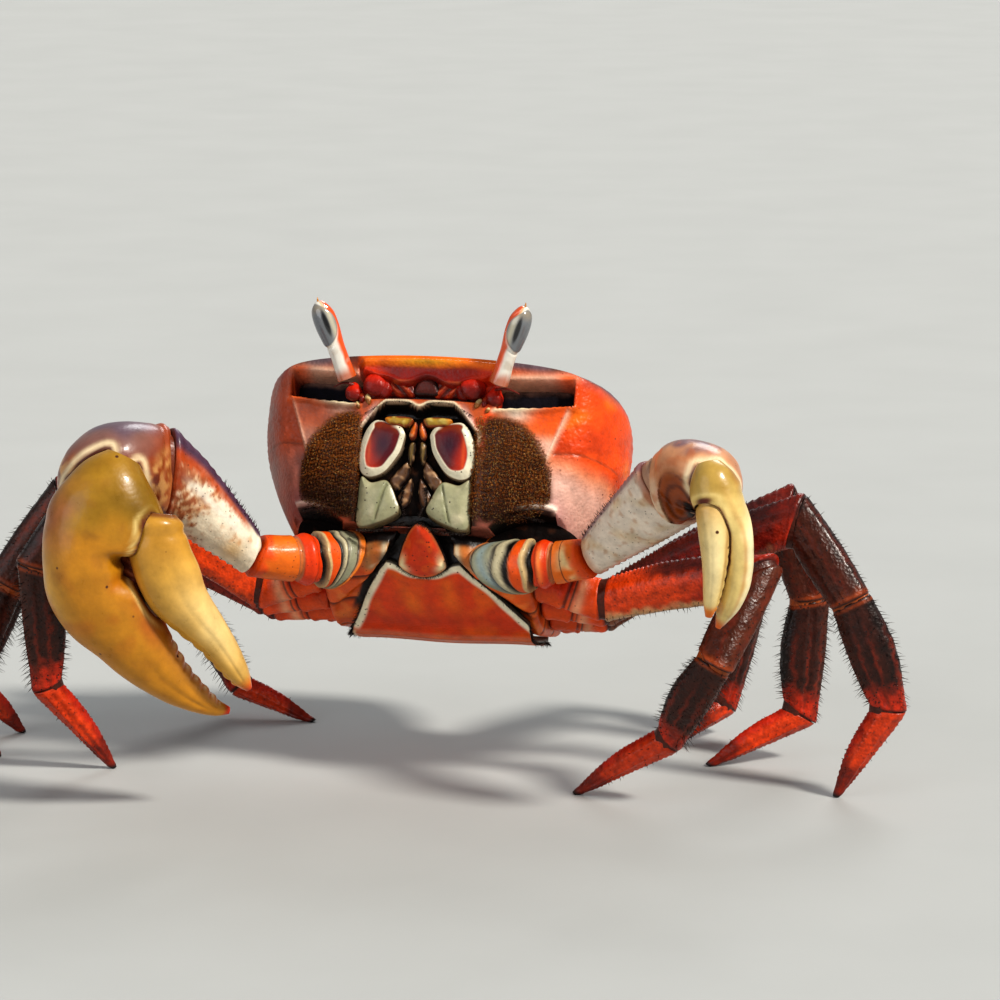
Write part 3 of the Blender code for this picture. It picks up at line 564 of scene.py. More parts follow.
    # skin under the felt, the crease and the socket
    felt = isFace * ramp(edgeDistance(flat, feltOutline) + cloud * 0.8, -1.2, 1.2)
    paint = coats(paint,
        ("#4a260c", felt * ramp(across, half + 0.8, half + 1.6)),
        ("#3a1e0c", isFace * bell(across, half + 1.6, 1.3) * ramp(u, -8, -12)))
    crease = -9.3 + 0.17 * (side - 34)
    paint = paintOver(paint, "#7c3a1e", bell(u, crease, 0.28) * ramp(side, 32.5, 35) * ramp(f, 2, 8) * 0.7)
    arch, span = socketArch(x)
    paint = coats(paint,
        ("#ecd9c8", isFace * bell(u, arch + 0.8, 0.8) * ramp(side, 25, 30) * ramp(side, 46, 43)
            * (0.5 + 0.5 * litSide)),
        # the socket's opening painted near black: painted shade
        ("#0c0605", isFace * ramp(arch - u, -0.4, 0.1) * span),
        # the strip below the mouth and sockets lies in their shade
        ("#0c0605", ramp(u, -29, -30) * ramp(side, 40, 37) * ramp(f, 6, 10)))
    return paint


def makeCarapace():
    up, across = shell["up"], shell["across"]
    left, top, right, under = [shellPoint(run, shell["frontRim"]) for run in shellRing(shell["frontRim"])]
    # the face, stretched between the four runs of the front slice
    leftRun, topRun, rightRun, underRun = [
        columns(run[:, 0], run[:, 1] - faceForward(run[:, 0], run[:, 2]), run[:, 2])
        for run in (left, top, right, under)]
    s = np.linspace(0, 1, across)[None, :, None]
    v = np.linspace(0, 1, up)[:, None, None]
    corners = ((1 - s) * (1 - v) * leftRun[0] + s * (1 - v) * rightRun[0]
               + (1 - s) * v * leftRun[-1] + s * v * rightRun[-1])
    face = ((1 - v) * underRun[None] + v * topRun[None] + (1 - s) * leftRun[:, None]
        + s * rightRun[:, None] - corners)
    face[..., 1] += faceForward(face[..., 0], face[..., 2])
    face = face.reshape(-1, 3)
    faces = gridFaces(up, across)
    # the ring round the face, as places in its grid
    grid = np.arange(up * across).reshape(up, across)
    rim = np.concatenate([grid[:, 0], grid[-1, 1:], grid[-2::-1, -1], grid[0, -2:0:-1]])
    stations = (shell["frontRim"] - (shell["frontRim"] - shell["rear"])
        * np.linspace(0, 1, shell["slices"]) ** 1.25)
    points = [face]
    before = rim
    for f in stations[1:]:
        left, top, right, under = [shellPoint(run, f) for run in shellRing(f)]
        ring = np.concatenate([left, top[1:], right[-2::-1], under[-2:0:-1]])
        after = sum(len(p) for p in points) + np.arange(len(ring))
        points.append(ring)
        faces += columns(before, np.roll(before, -1), np.roll(after, -1), after).tolist()
        before = after
    points = np.vstack(points)
    isFace = np.zeros(len(points))
    isFace[:len(face)] = 1
    # round the edge between face and sides
    faceArray = np.array(faces)
    a = faceArray.ravel()
    b = np.roll(faceArray, -1, axis=1).ravel()
    edge = np.abs(points[:, 1] - faceForward(points[:, 0], points[:, 2]))
    edgeIn = np.full(len(points), 99.0)
    edgeIn[:len(face)] = edgeDistance(face[:, [0, 2]], points[rim][:, [0, 2]])
    near = np.where(isFace > 0, edgeIn, edge)
    soft = ramp(near, 9, 1.5) * ramp(points[:, 2], 11, 7)
    relax(points, np.concatenate([a, b]), np.concatenate([b, a]), (soft * 0.6)[:, None], 90)
    # rear wall, closed over
    middle = len(points)
    points = np.vstack([points, points[before].mean(0)])
    isFace = np.append(isFace, 0)
    faces += [[int(p), int(q), middle] for p, q in zip(before, np.roll(before, -1))]
    x, f, u = points.T
    paint = facePaint(x, f, u, isFace)
    fromRim = np.where(u < -22, 99, np.append(near, 99))
    points[:, 1] += isFace * faceRelief(x, u) * ramp(fromRim, 0, 1.5)
    # the rim below the mouth and sockets is set back as deep as they are
    sunk = (1 - isFace) * ramp(u, -20, -22) * ramp(np.abs(x), 45, 42)
    points[:, 1] = np.where(sunk > 0, np.minimum(points[:, 1], faceForward(x, u) + faceRelief(x, u) * sunk),
        points[:, 1])
    # granules on the cheeks, fine lines over the back
    outward = columns(x / 60, f / 70, np.clip(u, -5, 20) / 12)
    outward = unit(np.where(isFace[:, None] > 0, [[0, 1, 0]], outward))
    grain = grains(points, 1.3, 1) ** 2
    cheek = ramp(np.abs(x), 33, 40) * ramp(u, -16, -8) * ramp(u, 14, 8)
    plate = isFace * ramp(np.abs(x), 22, 27) * ramp(u, -10, -3) * ramp(u, 2, 0)
    points += outward * (grain * (0.22 * cheek + 0.1 * plate))[:, None]
    points[:, 2] += np.where(isFace > 0, 0, 0.12 * softNoise(points, 2.6, 2) * ramp(u, 10, 13))
    # the hollows of the back: a cross groove and the H mark behind it
    back = (1 - isFace) * ramp(u, 9, 12)
    groove = bell(f, -6 + 0.012 * x * x, 1.6) * ramp(np.abs(x), 40, 30)
    mark = bell(np.abs(x), 11 + 0.15 * (f + 14), 1.5) * ramp(f, -30, -24) * ramp(f, 4, 0)
    points[:, 2] -= back * 0.7 * np.maximum(groove, mark)
    spots = ramp(np.abs(x), 30, 38) * 0.5 + (1 - isFace) * 0.4
    coverNode("carapace", toWorld(points), faces, granularShell, paint, spots)


makeCarapace()
print("carapace made")

# Limbs: each follows the surface of its CAD node
bristleRows = {}               # what each bristle piece collects before it is made


def keepBristles(group, roots, ways, lengths, thick, places):
    bristleRows.setdefault(group, []).append((roots, ways, lengths, np.full(len(roots), thick), places))


def nodeSurface(name):
    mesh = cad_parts[name].data
    points = [v.co / mm for v in mesh.vertices]
    return BVHTree.FromPolygons(points, [tuple(p.vertices) for p in mesh.polygons]), points


def jointBetween(first, second):
    # the middle of the two end rings that face each other
    near = []
    for here, there in ((first, second), (second, first)):
        surface = nodeSurface(there)[0]
        near += [p for p in nodeSurface(here)[1] if surface.find_nearest(p)[3] < 1.5]
    return np.array(near).mean(0)


def limbBase(hip, reach):
    # the middle of the hip's end that meets the breast plates
    wall = nodeSurface("thorax")[0]
    return np.array([p for p in nodeSurface(hip)[1] if wall.find_nearest(p)[3] < reach]).mean(0)


def limbGrid(name, start, startWay, end, endWay, broad, rings, sides, smoothing=4):
    # a fine tube whose points lie on the CAD node, with how far round and along each one is
    surface = nodeSurface(name)[0]
    axis = unit(end - start)
    length = np.linalg.norm(end - start)
    along = np.linspace(0.2 / length, 1 - 0.2 / length, rings)
    angles = np.arange(sides) * 2 * pi / sides
    centres, ways, reach = [], [], []
    for t in along:
        plane = unit(axis + (startWay - axis) * ramp(t, 0.4, 0) + (endWay - axis) * ramp(t, 0.6, 1))
        up = unit(broad - plane * (broad @ plane))
        across = np.cross(plane, up)
        centre = start + (end - start) * t
        for angle in angles:
            way = up * math.cos(angle) + across * math.sin(angle)
            hit = surface.ray_cast(Vector(centre), Vector(way))
            reach.append(hit[3] if hit[0] is not None and hit[3] < 40 else np.nan)
            ways.append(way)
        centres.append(centre)
    reach = np.array(reach).reshape(rings, sides)
    found = ~np.isnan(reach).all(axis=1)
    whole = np.flatnonzero(found)
    nearestRing = whole[np.abs(np.arange(rings)[:, None] - whole[None]).argmin(axis=1)]
    reach = reach[nearestRing]        # a ring that met nothing takes its neighbour's sizes
    reach = np.where(np.isnan(reach), np.nanmedian(reach, axis=1, keepdims=True), reach)
    for step in range(smoothing):
        reach = (np.roll(reach, 1, 1) + 2 * reach + np.roll(reach, -1, 1)) / 4
        reach[1:-1] = (reach[:-2] + 2 * reach[1:-1] + reach[2:]) / 4
    return {"centres": np.array(centres)[:, None], "ways": np.array(ways).reshape(rings, sides, 3),
            "reach": reach, "t": np.tile(along[:, None], (1, sides)),
            "angle": np.tile(angles[None], (rings, 1)), "length": length, "axis": axis}


def gridPoints(grid):
    return grid["centres"] + grid["ways"] * grid["reach"][..., None]


def turnedBy(angle, middle):
    # how far an angle is from another, up to half a turn
    return np.abs((angle - middle + pi) % (2 * pi) - pi)


def roundEnds(grid, lip=0.35, groove=0.13, depth=1.1):
    # the swollen lip and the groove of a joint at both ends
    fromStart = grid["t"] * grid["length"]
    fromEnd = (1 - grid["t"]) * grid["length"]
    nearest = np.minimum(fromStart, fromEnd)
    grid["reach"] += lip * bell(nearest, depth + 0.7, 0.8)
    grid["reach"] *= 1 - groove * (1 - np.sqrt(np.clip(nearest / depth, 0, 1)))
    return nearest


def addBristles(group, grid, points, angle, spread, tRange, spacing, length, seed, cell, lean=0.35,
        thick=0.11):
    # a row of bristles along a limb at one angle, or scattered when the spread is wide
    random = np.random.default_rng(seed)
    count = max(1, int((tRange[1] - tRange[0]) * grid["length"] / spacing))
    t = (np.linspace(tRange[0], tRange[1], count) + random.uniform(-0.3, 0.3, count) * spacing
        / grid["length"])
    turn = (angle + random.uniform(-spread, spread, count)) % (2 * pi)
    rings, sides = grid["reach"].shape
    row = np.clip((t * (rings - 1)).round().astype(int), 0, rings - 1)
    column = (turn / (2 * pi) * sides).round().astype(int) % sides
    ways = unit(grid["ways"][row, column] + grid["axis"]
        * (lean + random.uniform(-0.25, 0.25, count))[:, None] + random.normal(0, 0.12, (count, 3)))
    keepBristles(group, points[row, column], ways, length * random.uniform(0.6, 1.2, count), thick,
                 columns((cell % 8 + 0.05 + 0.9 * t) / 8, (cell // 8 + 0.05 + 0.9 * turn / (2 * pi)) / 8))


def makeBristles(name, rows, material, colours, droop=0.1):
    # every bristle is a closed three-sided cone with one bend; its patch on OFBake lies at its root
    roots, ways, lengths, widths, places = [np.concatenate(part) for part in zip(*rows)]
    count = len(roots)
    helper = np.where(np.abs(ways[:, 2:]) < 0.9, [[0, 0, 1.0]], [[1.0, 0, 0]])
    first = unit(np.cross(ways, helper))
    second = np.cross(ways, first)
    down = np.array([0, 0, -1.0])
    points = np.zeros((count, 7, 3))
    patch = np.zeros((count, 7, 2))
    shade = np.zeros((count, 7))
    for ring, (share, wide) in enumerate(((-0.08, 1.0), (0.5, 0.7))):
        for corner in range(3):
            angle = corner * 2 * pi / 3
            points[:, ring * 3 + corner] = (roots + ways * (lengths * share)[:, None]
                + down * (droop * lengths * max(share, 0) ** 2)[:, None]
                + (first * math.cos(angle) + second * math.sin(angle)) * (widths * wide)[:, None])
            patch[:, ring * 3 + corner] = places + [corner * 0.001, ring * 0.0015]
            shade[:, ring * 3 + corner] = max(share, 0)
    points[:, 6] = roots + ways * lengths[:, None] + down * (droop * lengths)[:, None]
    patch[:, 6] = places + [0.001, 0.003]
    shade[:, 6] = 1
    single = [(2, 1, 0), (0, 1, 4, 3), (1, 2, 5, 4), (2, 0, 3, 5), (3, 4, 6), (4, 5, 6), (5, 3, 6)]
    faces = [tuple(7 * index + corner for corner in face) for index in range(count) for face in single]
    low, high = [np.repeat(c, 7, axis=0) if isinstance(c, np.ndarray) else basePaint(c, count * 7)
        for c in colours]
    paint = low + (high - low) * shade.reshape(-1, 1)
    makePiece(name, points.reshape(-1, 3), faces, material, paint, 0, patch.reshape(-1, 2))


# Walking legs
legLooks = {
    # colours from the top edge to the underside, then the far end of the segment and where that begins;
    # how strongly the underside shows, how deep the shell is pitted and how thickly its pores stand
    "hip": {"colours": ("#b02002", "#d83a04", "#d45c10", "#e04c06"), "farFrom": 0.5, "below": 0.5,
            "pits": 0.04, "pores": 0.4, "slot": "thigh"},
    "merus": {"colours": ("#48120c", "#941a02", "#c8a070", "#a02404"), "farFrom": 0.86, "below": 0.25,
              "pits": 0.1, "pores": 0.5, "slot": "thigh"},
    "carpus": {"colours": ("#24100a", "#441806", "#602808", "#6c2a06"), "farFrom": 0.9, "below": 0.5,
               "pits": 0.16, "pores": 0.9, "slot": "shin"},
    "propodus": {"colours": ("#180a06", "#361206", "#4c1c04", "#b02804"), "farFrom": 0.76, "below": 0.6,
                 "pits": 0.2, "pores": 1.0, "slot": "shin"},
    "dactyl": {"colours": ("#b02404", "#c83a06", "#a83004", "#7c1c02"), "farFrom": 0.62, "below": 0.5,
               "pits": 0.12, "pores": 0.35, "slot": "toe"},
}
legParts = list(legLooks)


def shapeSegment(part, number, grid):
    t, angle, length = grid["t"], grid["angle"], grid["length"]
    tight = part in ("carpus", "propodus", "dactyl")
    nearest = roundEnds(grid, lip=0.12 if tight else 0.3, groove=0.05 if tight else 0.12, depth=0.7
        if tight else 1.0)
    body = ramp(nearest, 0.8, 2.5)
    upper, lower = turnedBy(angle, 0), turnedBy(angle, pi)
    front, behind = turnedBy(angle, pi / 2), turnedBy(angle, 3 * pi / 2)
    tooth = np.abs(np.sin(t * length / 1.5 * pi)) ** 2
    if part == "hip":
        grid["reach"] -= 0.55 * bell(t, 0.48, 0.03) + 0.35 * bell(t, 0.56, 0.02)
        grid["reach"] += 0.35 * bell(t, 0.42, 0.05)
    if part == "merus":
        grid["reach"] += (body * (0.45 * bell(upper, 0, 0.2) * (0.5 + tooth) - 0.3 * bell(front, 0, 0.5)
            - 0.3 * bell(behind, 0, 0.5) + 0.3 * bell(lower, 0.5, 0.14) * (0.5 + tooth)))
    if part == "carpus":
        grid["reach"] += body * (0.35 * bell(upper, 0.4, 0.14) - 0.35 * bell(front, 0.15, 0.25)
                                 - 0.25 * bell(behind, 0.15, 0.25))
    if part == "propodus":
        grid["reach"] += body * (-0.4 * bell(front, 0.1, 0.2) - 0.35 * bell(behind, 0.1, 0.2)
                                 + 0.25 * bell(upper, 0.35, 0.12) + 0.25 * bell(lower, 0.35, 0.12))
    if part == "dactyl":
        grid["reach"] += (ramp(t, 0.98, 0.75) * body
            * (0.14 * np.cos(6 * angle) + 0.22 * tooth * np.clip(np.cos(6 * angle), 0, 1) ** 4))
    points = gridPoints(grid)
    flat = points.reshape(-1, 3)
    lumps = softNoise(flat, 2.4, number).reshape(t.shape)
    pits = grains(flat, 1.15, number + 2).reshape(t.shape)
    points += grid["ways"] * (body * (0.08 * lumps - legLooks[part]["pits"] * (pits - 0.4)))[..., None]
    return points, lumps


def paintSegment(part, number, side, grid, lumps):
    t, angle = grid["t"].ravel(), grid["angle"].ravel()
    nearest = (np.minimum(grid["t"], 1 - grid["t"]) * grid["length"]).ravel()
    cloud = lumps.ravel()
    look = legLooks[part]
    top, flank, under, far = look["colours"]
    upper, lower = turnedBy(angle, 0), turnedBy(angle, pi)
    paint = basePaint(flank, len(t))
    if part == "merus" and number > 2:
        paint = paintOver(paint, "#5c0e04", np.full(len(t), 0.75))
    if part == "merus" and number == 2:
        paint = paintOver(paint, "#d84406", ramp(t + 0.1 * cloud, 0.95, 0.4))
    paint = paintOver(paint, top, ramp(upper + 0.25 * cloud, 0.85, 0.35)
                      * (ramp(t, 0.15, 0.5) if part == "merus" and number == 2 else 1))
    pale = 0.9 if part == "merus" and number == 2 else look["below"]
    below = "#c4440c" if part == "merus" and side == "right" else under
    paint = paintOver(paint, below, ramp(lower + 0.3 * cloud, 1, 0.5) * pale)
    start = look["farFrom"]
    paint = paintOver(paint, far, ramp(t + 0.08 * cloud, start - 0.04,
        start + (0.16 if part == "propodus" else 0.1)))
    if part == "propodus":
        streak = np.sin(angle * 7 + 1.5 * cloud)
        paint = paintOver(paint, "#7a2206", ramp(streak, 0.3, 1) * ramp(t, 0.1, 0.6) * 0.6)
    if part == "carpus":
        paint = paintOver(paint, "#6a2008", ramp(np.sin(angle * 6 + 1.5 * cloud), 0.4, 1.0) * 0.45)
    if part == "merus" and number > 2:
        paint = paintOver(paint, "#280a08", ramp(t + 0.1 * cloud, 0.5, 0.95) * ramp(upper, 1.6, 0.6) * 0.6)
    if part == "dactyl":
        paint = paintOver(paint, "#140a08", ramp(t, 0.93, 0.985))
    if part == "carpus" or part == "propodus":
        line = bell(nearest, 1.2, 0.45) * (ramp(t, 0.3, 0.1) if part == "propodus" else ramp(t, 0.7, 0.9))
        paint = paintOver(paint, "#9c4212", line * 0.7)
    if part == "hip":
        paint = coats(paint,
            ("#2a0f0a", np.maximum(bell(t, 0.48, 0.02), bell(t, 0.56, 0.014))),
            ("#e9c79c", bell(t, 0.66, 0.08) * ramp(upper, 0.6, 1.4) * 0.5))
    return paintOver(paint, "#1c0a07", ramp(nearest, 0.95, 0.25) * (0.35 if part == "dactyl" else 0.9))


def joinShapes(shapes):
    # several closed shapes as one mesh: each is points, faces and paint
    points, faces, paints, start = [], [], [], 0
    for shape in shapes:
        points.append(shape[0])
        faces += [[start + corner for corner in face] for face in shape[1]]
        paints.append(shape[2])
        start += len(shape[0])
    return np.vstack(points), faces, np.vstack(paints)


def jointPlug(before, after, share):
    # soft cuticle between two segments: a short core from the last ring of one to the first of the next
    shifts = [np.linalg.norm(np.roll(after, -turn, 0) - before, axis=1).sum() for turn in range(len(after))]
    after = np.roll(after, -int(np.argmin(shifts)), 0)
    ends = [ring.mean(0) + (ring - ring.mean(0)) * share for ring in (before, after)]
    mix = np.linspace(0, 1, 6)[:, None, None]
    return closeTube(ends[0] * (1 - mix) + ends[1] * mix)


def makeLegs():
    cell = 0
    for side, across in bothSides:
        group = "legs_" + side
        for number in (2, 3, 4, 5):
            names = ["leg%d_%s_%s" % (number, part, side) for part in legParts]
            toe = np.array([p for p in nodeSurface(names[4])[1] if p.z < 0.1]).mean(0)
            stops = ([limbBase(names[0], 1.0)] + [jointBetween(a, b) for a,
                b in zip(names, names[1:])] + [toe])
            acrossLeg = unit(np.cross(stops[2] - stops[1], [0, 0, -1.0]))
            for index, part in enumerate(legParts):
                here, there = stops[index], stops[index + 1]
                along = unit(there - here)
                begin = bodyWay(across, 0, 0) if index == 0 else unit(unit(here - stops[index - 1]) + along)
                finish = (np.array([0, 0, -1.0]) if index == 4
                    else unit(along + unit(stops[index + 2] - there)))
                if index == 4:
                    finish = unit(finish + along)
                broad = unit(np.cross(along, bodyWay(0, 1, 0) if index == 0 else acrossLeg))
                broad = broad if broad[2] > 0 else -broad
                rings = max(26, int(np.linalg.norm(there - here) / 0.42))
                grid = limbGrid(names[index], here, begin, there, finish, broad, rings, 56)
                points, lumps = shapeSegment(part, number, grid)
                points[..., 2] = np.maximum(points[..., 2], 0.0)
                paint = paintSegment(part, number, side, grid, lumps)
                flat, faces = closeTube(points)
                paint = withEnds(paint)
                if index > 0:
                    plug, plugFaces = jointPlug(lastRing, points[4], 0.94)
                    colour = "#a04c16" if part == "propodus" else "#4a1c0e"
                    flat, faces, paint = joinShapes([(flat, faces, paint),
                        (plug, plugFaces, basePaint(colour, len(plug)))])
                lastRing = points[-5]
                coverNode(names[index], flat, faces, granularShell if part == "hip" else pittedShell,
                          paint, legLooks[part]["pores"])
                longer = 3.2 if side == "right" else 2.3
                rows = {"hip": (), "merus": ((pi - 0.5, 0.2, 1.7, 1.6), (pi + 0.5, 0.2, 1.7, 1.6),
                    (0.1, 0.2, 2.6, 0.9)), "carpus": ((0.3, 0.3, 1.0, 1.7), (pi, 0.5, 1.1, 1.7),
                    (5.9, 0.3, 1.2, 1.5)), "propodus": ((0.35, 0.3, 0.8, 2.2), (5.93, 0.3, 0.8, 2.2),
                    (pi - 0.35, 0.3, 0.75, longer), (pi + 0.35, 0.3, 0.75, longer),
                    (pi / 2, 3.1, 0.16, 0.7)), "dactyl": ((0.3, 3.1, 0.45, 0.8),)}[part]
                limit = (0.03, 0.95) if part != "dactyl" else (0.05, 0.7)
                for row, (angle, spread, spacing, size) in enumerate(rows):
                    addBristles(group, grid, points, angle, spread, limit, spacing, size,
                                number * 100 + index * 10 + row + (50 if side == "left" else 0), cell)
                cell = (cell + 1) % 64


makeLegs()
print("legs made")

# Claws
# Rows of each piece from the wrist outwards, in the standing crab: x, y, z of the middle line,
# then the half width on the outer side, the half width on the inner side and the half thickness.
claws = {
    "right": {
        "elbowFacing": (-1.0, -0.42, 0.15),
        "carpus": ((-74, -42, 89.2, 12.4, 11, 6.5), (-80.2, -46.5, 92.8, 10.8, 9.8, 9.8),
            (-87.5, -49.5, 93.7, 9.8, 8.1, 12.5), (-93.8, -49.5, 89.4, 8.1, 6.5, 11),
            (-98.1, -48, 84.5, 3.3, 3.3, 5)),
        "palm": ((-83.2, -61, 97, 4.4, 5, 5), (-85.2, -62.5, 92.8, 8.6, 10.6, 8),
            (-87.2, -63.5, 87.6, 11.4, 15.8, 9.8), (-89, -64, 82.8, 13, 19.6, 10.4),
            (-90.4, -64.2, 78.6, 13.1, 17.4, 10.6), (-91.9, -64.4, 74.6, 12.2, 9, 10.7),
            (-92.9, -64.4, 69.4, 11, 9.9, 10.6), (-92.2, -64, 63.6, 10.9, 9.8, 10),
            (-88.6, -63, 57.2, 10.7, 12.6, 9), (-84.2, -61.8, 50.8, 8.6, 11.6, 8),
            (-80.1, -60.6, 45, 7, 10.4, 7.2), (-75.7, -59.2, 40.1, 5.7, 8.4, 6.2),
            (-70.6, -57.6, 35.6, 4.6, 6.2, 5), (-65.2, -56, 31.8, 3.2, 4.2, 3.8),
            (-60.6, -54.8, 29.4, 1.9, 2.2, 2.4), (-57, -54, 28.4, 0.8, 0.8, 0.9)),
        "finger": ((-74.2, -65.4, 83.2, 4.8, 4.8, 4.6), (-74.4, -66, 80, 6.9, 6.9, 6.4),
            (-74.2, -66.2, 76, 7.7, 7.7, 6.8), (-73.2, -66.2, 71.6, 8, 8, 7),
            (-71.4, -66, 66.8, 8.2, 8.2, 7), (-69.2, -65.4, 61.8, 7.6, 7.6, 6.8),
            (-65.6, -64.4, 56.8, 6.2, 6.2, 6.2), (-61.4, -63.2, 51.6, 5, 5, 5.4),
            (-58, -62.2, 46.6, 4.1, 4.1, 4.7), (-55.2, -61.2, 42, 3.3, 3.3, 3.9),
            (-53, -60.2, 38.2, 2.3, 2.3, 2.8), (-51.4, -59.6, 35.6, 0.9, 0.9, 1)),
        "teeth": 1.0, "toothGap": 3.4, "fixedTeeth": (0.66, 0.97), "fingerTeeth": (0.5, 0.95)},
    "left": {
        "elbowFacing": (0.55, -0.57, 0.61),
        "carpus": ((58, -58, 87.9, 10.8, 10.8, 7), (61.7, -62, 92, 9.8, 9.2, 9.5),
            (66.8, -66, 93.3, 8.1, 8.1, 10.5), (70.9, -68, 90.8, 6, 5.4, 9),
            (73.5, -68, 87.1, 2.2, 2.2, 4)),
        "palm": ((66.8, -77, 98.2, 3.2, 3.2, 3.6), (67.4, -78.4, 95.2, 5.6, 5.4, 6),
            (68.6, -79, 91.2, 6.6, 6.8, 6.8), (71, -79.2, 87.2, 5.4, 6.6, 6.8),
            (73.8, -79, 82.6, 4, 4, 6.4), (74.8, -79, 75.7, 3.5, 4, 5.8),
            (74.2, -78.2, 68.4, 3.5, 3.7, 5), (72.8, -77.4, 63, 2.8, 3.1, 3.9),
            (71, -76.6, 59, 1.9, 2.1, 2.7), (69.5, -76, 55.6, 0.8, 0.8, 0.9)),
        "finger": ((67.2, -80.8, 90.6, 2.6, 2.6, 3.2), (67.4, -81.4, 87.8, 4.1, 4.1, 4.4),
            (67.9, -82, 82.2, 4.2, 4, 4.7), (68.2, -82, 75.2, 3.4, 3.4, 4.4),
            (67.9, -81.4, 68, 2.6, 2.6, 3.6), (67.3, -80.6, 62.6, 1.8, 1.8, 2.4),
            (66.9, -80, 59.4, 0.9, 0.9, 1)),
        "teeth": 0.35, "toothGap": 2.2, "fixedTeeth": (0.5, 0.95), "fingerTeeth": (0.4, 0.95)},
}


def rowLoft(rows, outward, rings, sides, fuller=0.92, room=0.0, facing=None):
    # a rounded tube through the rows; angle 0 is the outer side and half a turn the inner side
    rows = np.array(rows, float)
    rows[:, :3] += standing
    rows[:, 3:] += room
    t = 0.5 - 0.5 * np.cos(np.linspace(0.02, 1, rings) * pi)
    t = 0.35 * t + 0.65 * np.linspace(0, 1, rings)
    made = curveThrough(rows, t)
    ahead = unit(curveThrough(rows[:, :3], np.minimum(t + 0.02, 1))
        - curveThrough(rows[:, :3], np.maximum(t - 0.02, 0)))
    if facing is not None:        # the first rings lie in the joint's own plane
        ahead = unit(ahead + (unit(np.array(facing)) - ahead) * ramp(t, 0.3, 0)[:, None])
    rise = unit(outward - ahead * (ahead @ outward)[:, None])
    across = np.cross(ahead, rise)
    angles = np.arange(sides) * 2 * pi / sides
    lift = np.sign(np.cos(angles)) * np.abs(np.cos(angles)) ** fuller
    turn = np.sign(np.sin(angles)) * np.abs(np.sin(angles)) ** fuller
    high = np.where(lift[None] > 0, made[:, 3:4], made[:, 4:5]) * lift[None]
    wide = made[:, 5:6] * turn[None]
    offset = rise[:, None] * high[..., None] + across[:, None] * wide[..., None]
    reach = np.linalg.norm(offset, axis=-1)
    length = np.linalg.norm(np.diff(made[:, :3], axis=0), axis=1).sum()
    return {"centres": made[:, None, :3], "ways": offset / np.maximum(reach, 1e-6)[..., None],
        "reach": reach, "t": np.tile(t[:, None], (1, sides)), "angle": np.tile(angles[None], (rings, 1)),
        "length": length, "axis": unit(rows[-1, :3] - rows[0, :3])}


def pebble(middle, radii, point=0.0, furrow=0.0, rows=26, sides=36, way=(0, 0.5, 1)):
    # a small knob of shell, drawn out towards one way and furrowed round its foot
    latitude = np.linspace(0.01, pi - 0.01, rows)[:, None]
    turn = np.arange(sides)[None] * 2 * pi / sides
    size = (1 + point * np.exp(-(latitude / 0.5) ** 2)
        - furrow * bell(latitude, 1.9, 0.12) * np.ones_like(turn))
    size = size + 0.035 * np.cos(5 * turn + latitude * 2) * np.sin(latitude)
    up = unit(np.array(way, float))
    side = unit(np.cross(up, [0.3, 1, 0.2]))
    third = np.cross(up, side)
    shape = ((np.cos(latitude)[..., None] * up * radii[2]
        + (np.sin(latitude) * np.cos(turn))[..., None] * side * radii[0]
        + (np.sin(latitude) * np.sin(turn))[..., None] * third * radii[1]) * size[..., None])
    return closeTube(shape + np.array(middle))


def hollowOut(piece, cutter):
    # cut where the next piece turns in it; the cut's wall takes the cutter's own material
    cut = piece.modifiers.new("bed", "BOOLEAN")
    cut.operation = "DIFFERENCE"
    cut.solver = "EXACT"
    cut.use_self = True
    cut.object = cutter
    graph = bpy.context.evaluated_depsgraph_get()
    result = bpy.data.meshes.new_from_object(piece.evaluated_get(graph))
    piece.modifiers.clear()
    result.set_sharp_from_angle(angle=0.7)
    # points new along the cut come out white, and take the skin's brown
    colours = np.zeros(len(result.vertices) * 4, np.float32)
    result.attributes["paint"].data.foreach_get("color", colours)
    colours = colours.reshape(-1, 4)
    colours[(colours[:, :3] > 0.99).all(1), :3] = linearColour("#4a1f0e")
    result.attributes["paint"].data.foreach_set("color", colours.ravel())
    piece.data = result
    bpy.data.objects.remove(cutter)


def makeCutter(name, grid, material, colour):
    flat, faces = closeTube(gridPoints(grid))
    return makeShape(name, flat, faces, material, basePaint(colour, len(flat)))


def distanceTo(tube, points):
    # how far each point lies from a tube's surface
    surface = BVHTree.FromPolygons([tuple(p) for p in tube.reshape(-1, 3)],
        gridFaces(*tube.shape[:2], wrap=True))
    return np.array([surface.find_nearest(Vector(p))[3] for p in points.reshape(-1, 3)])


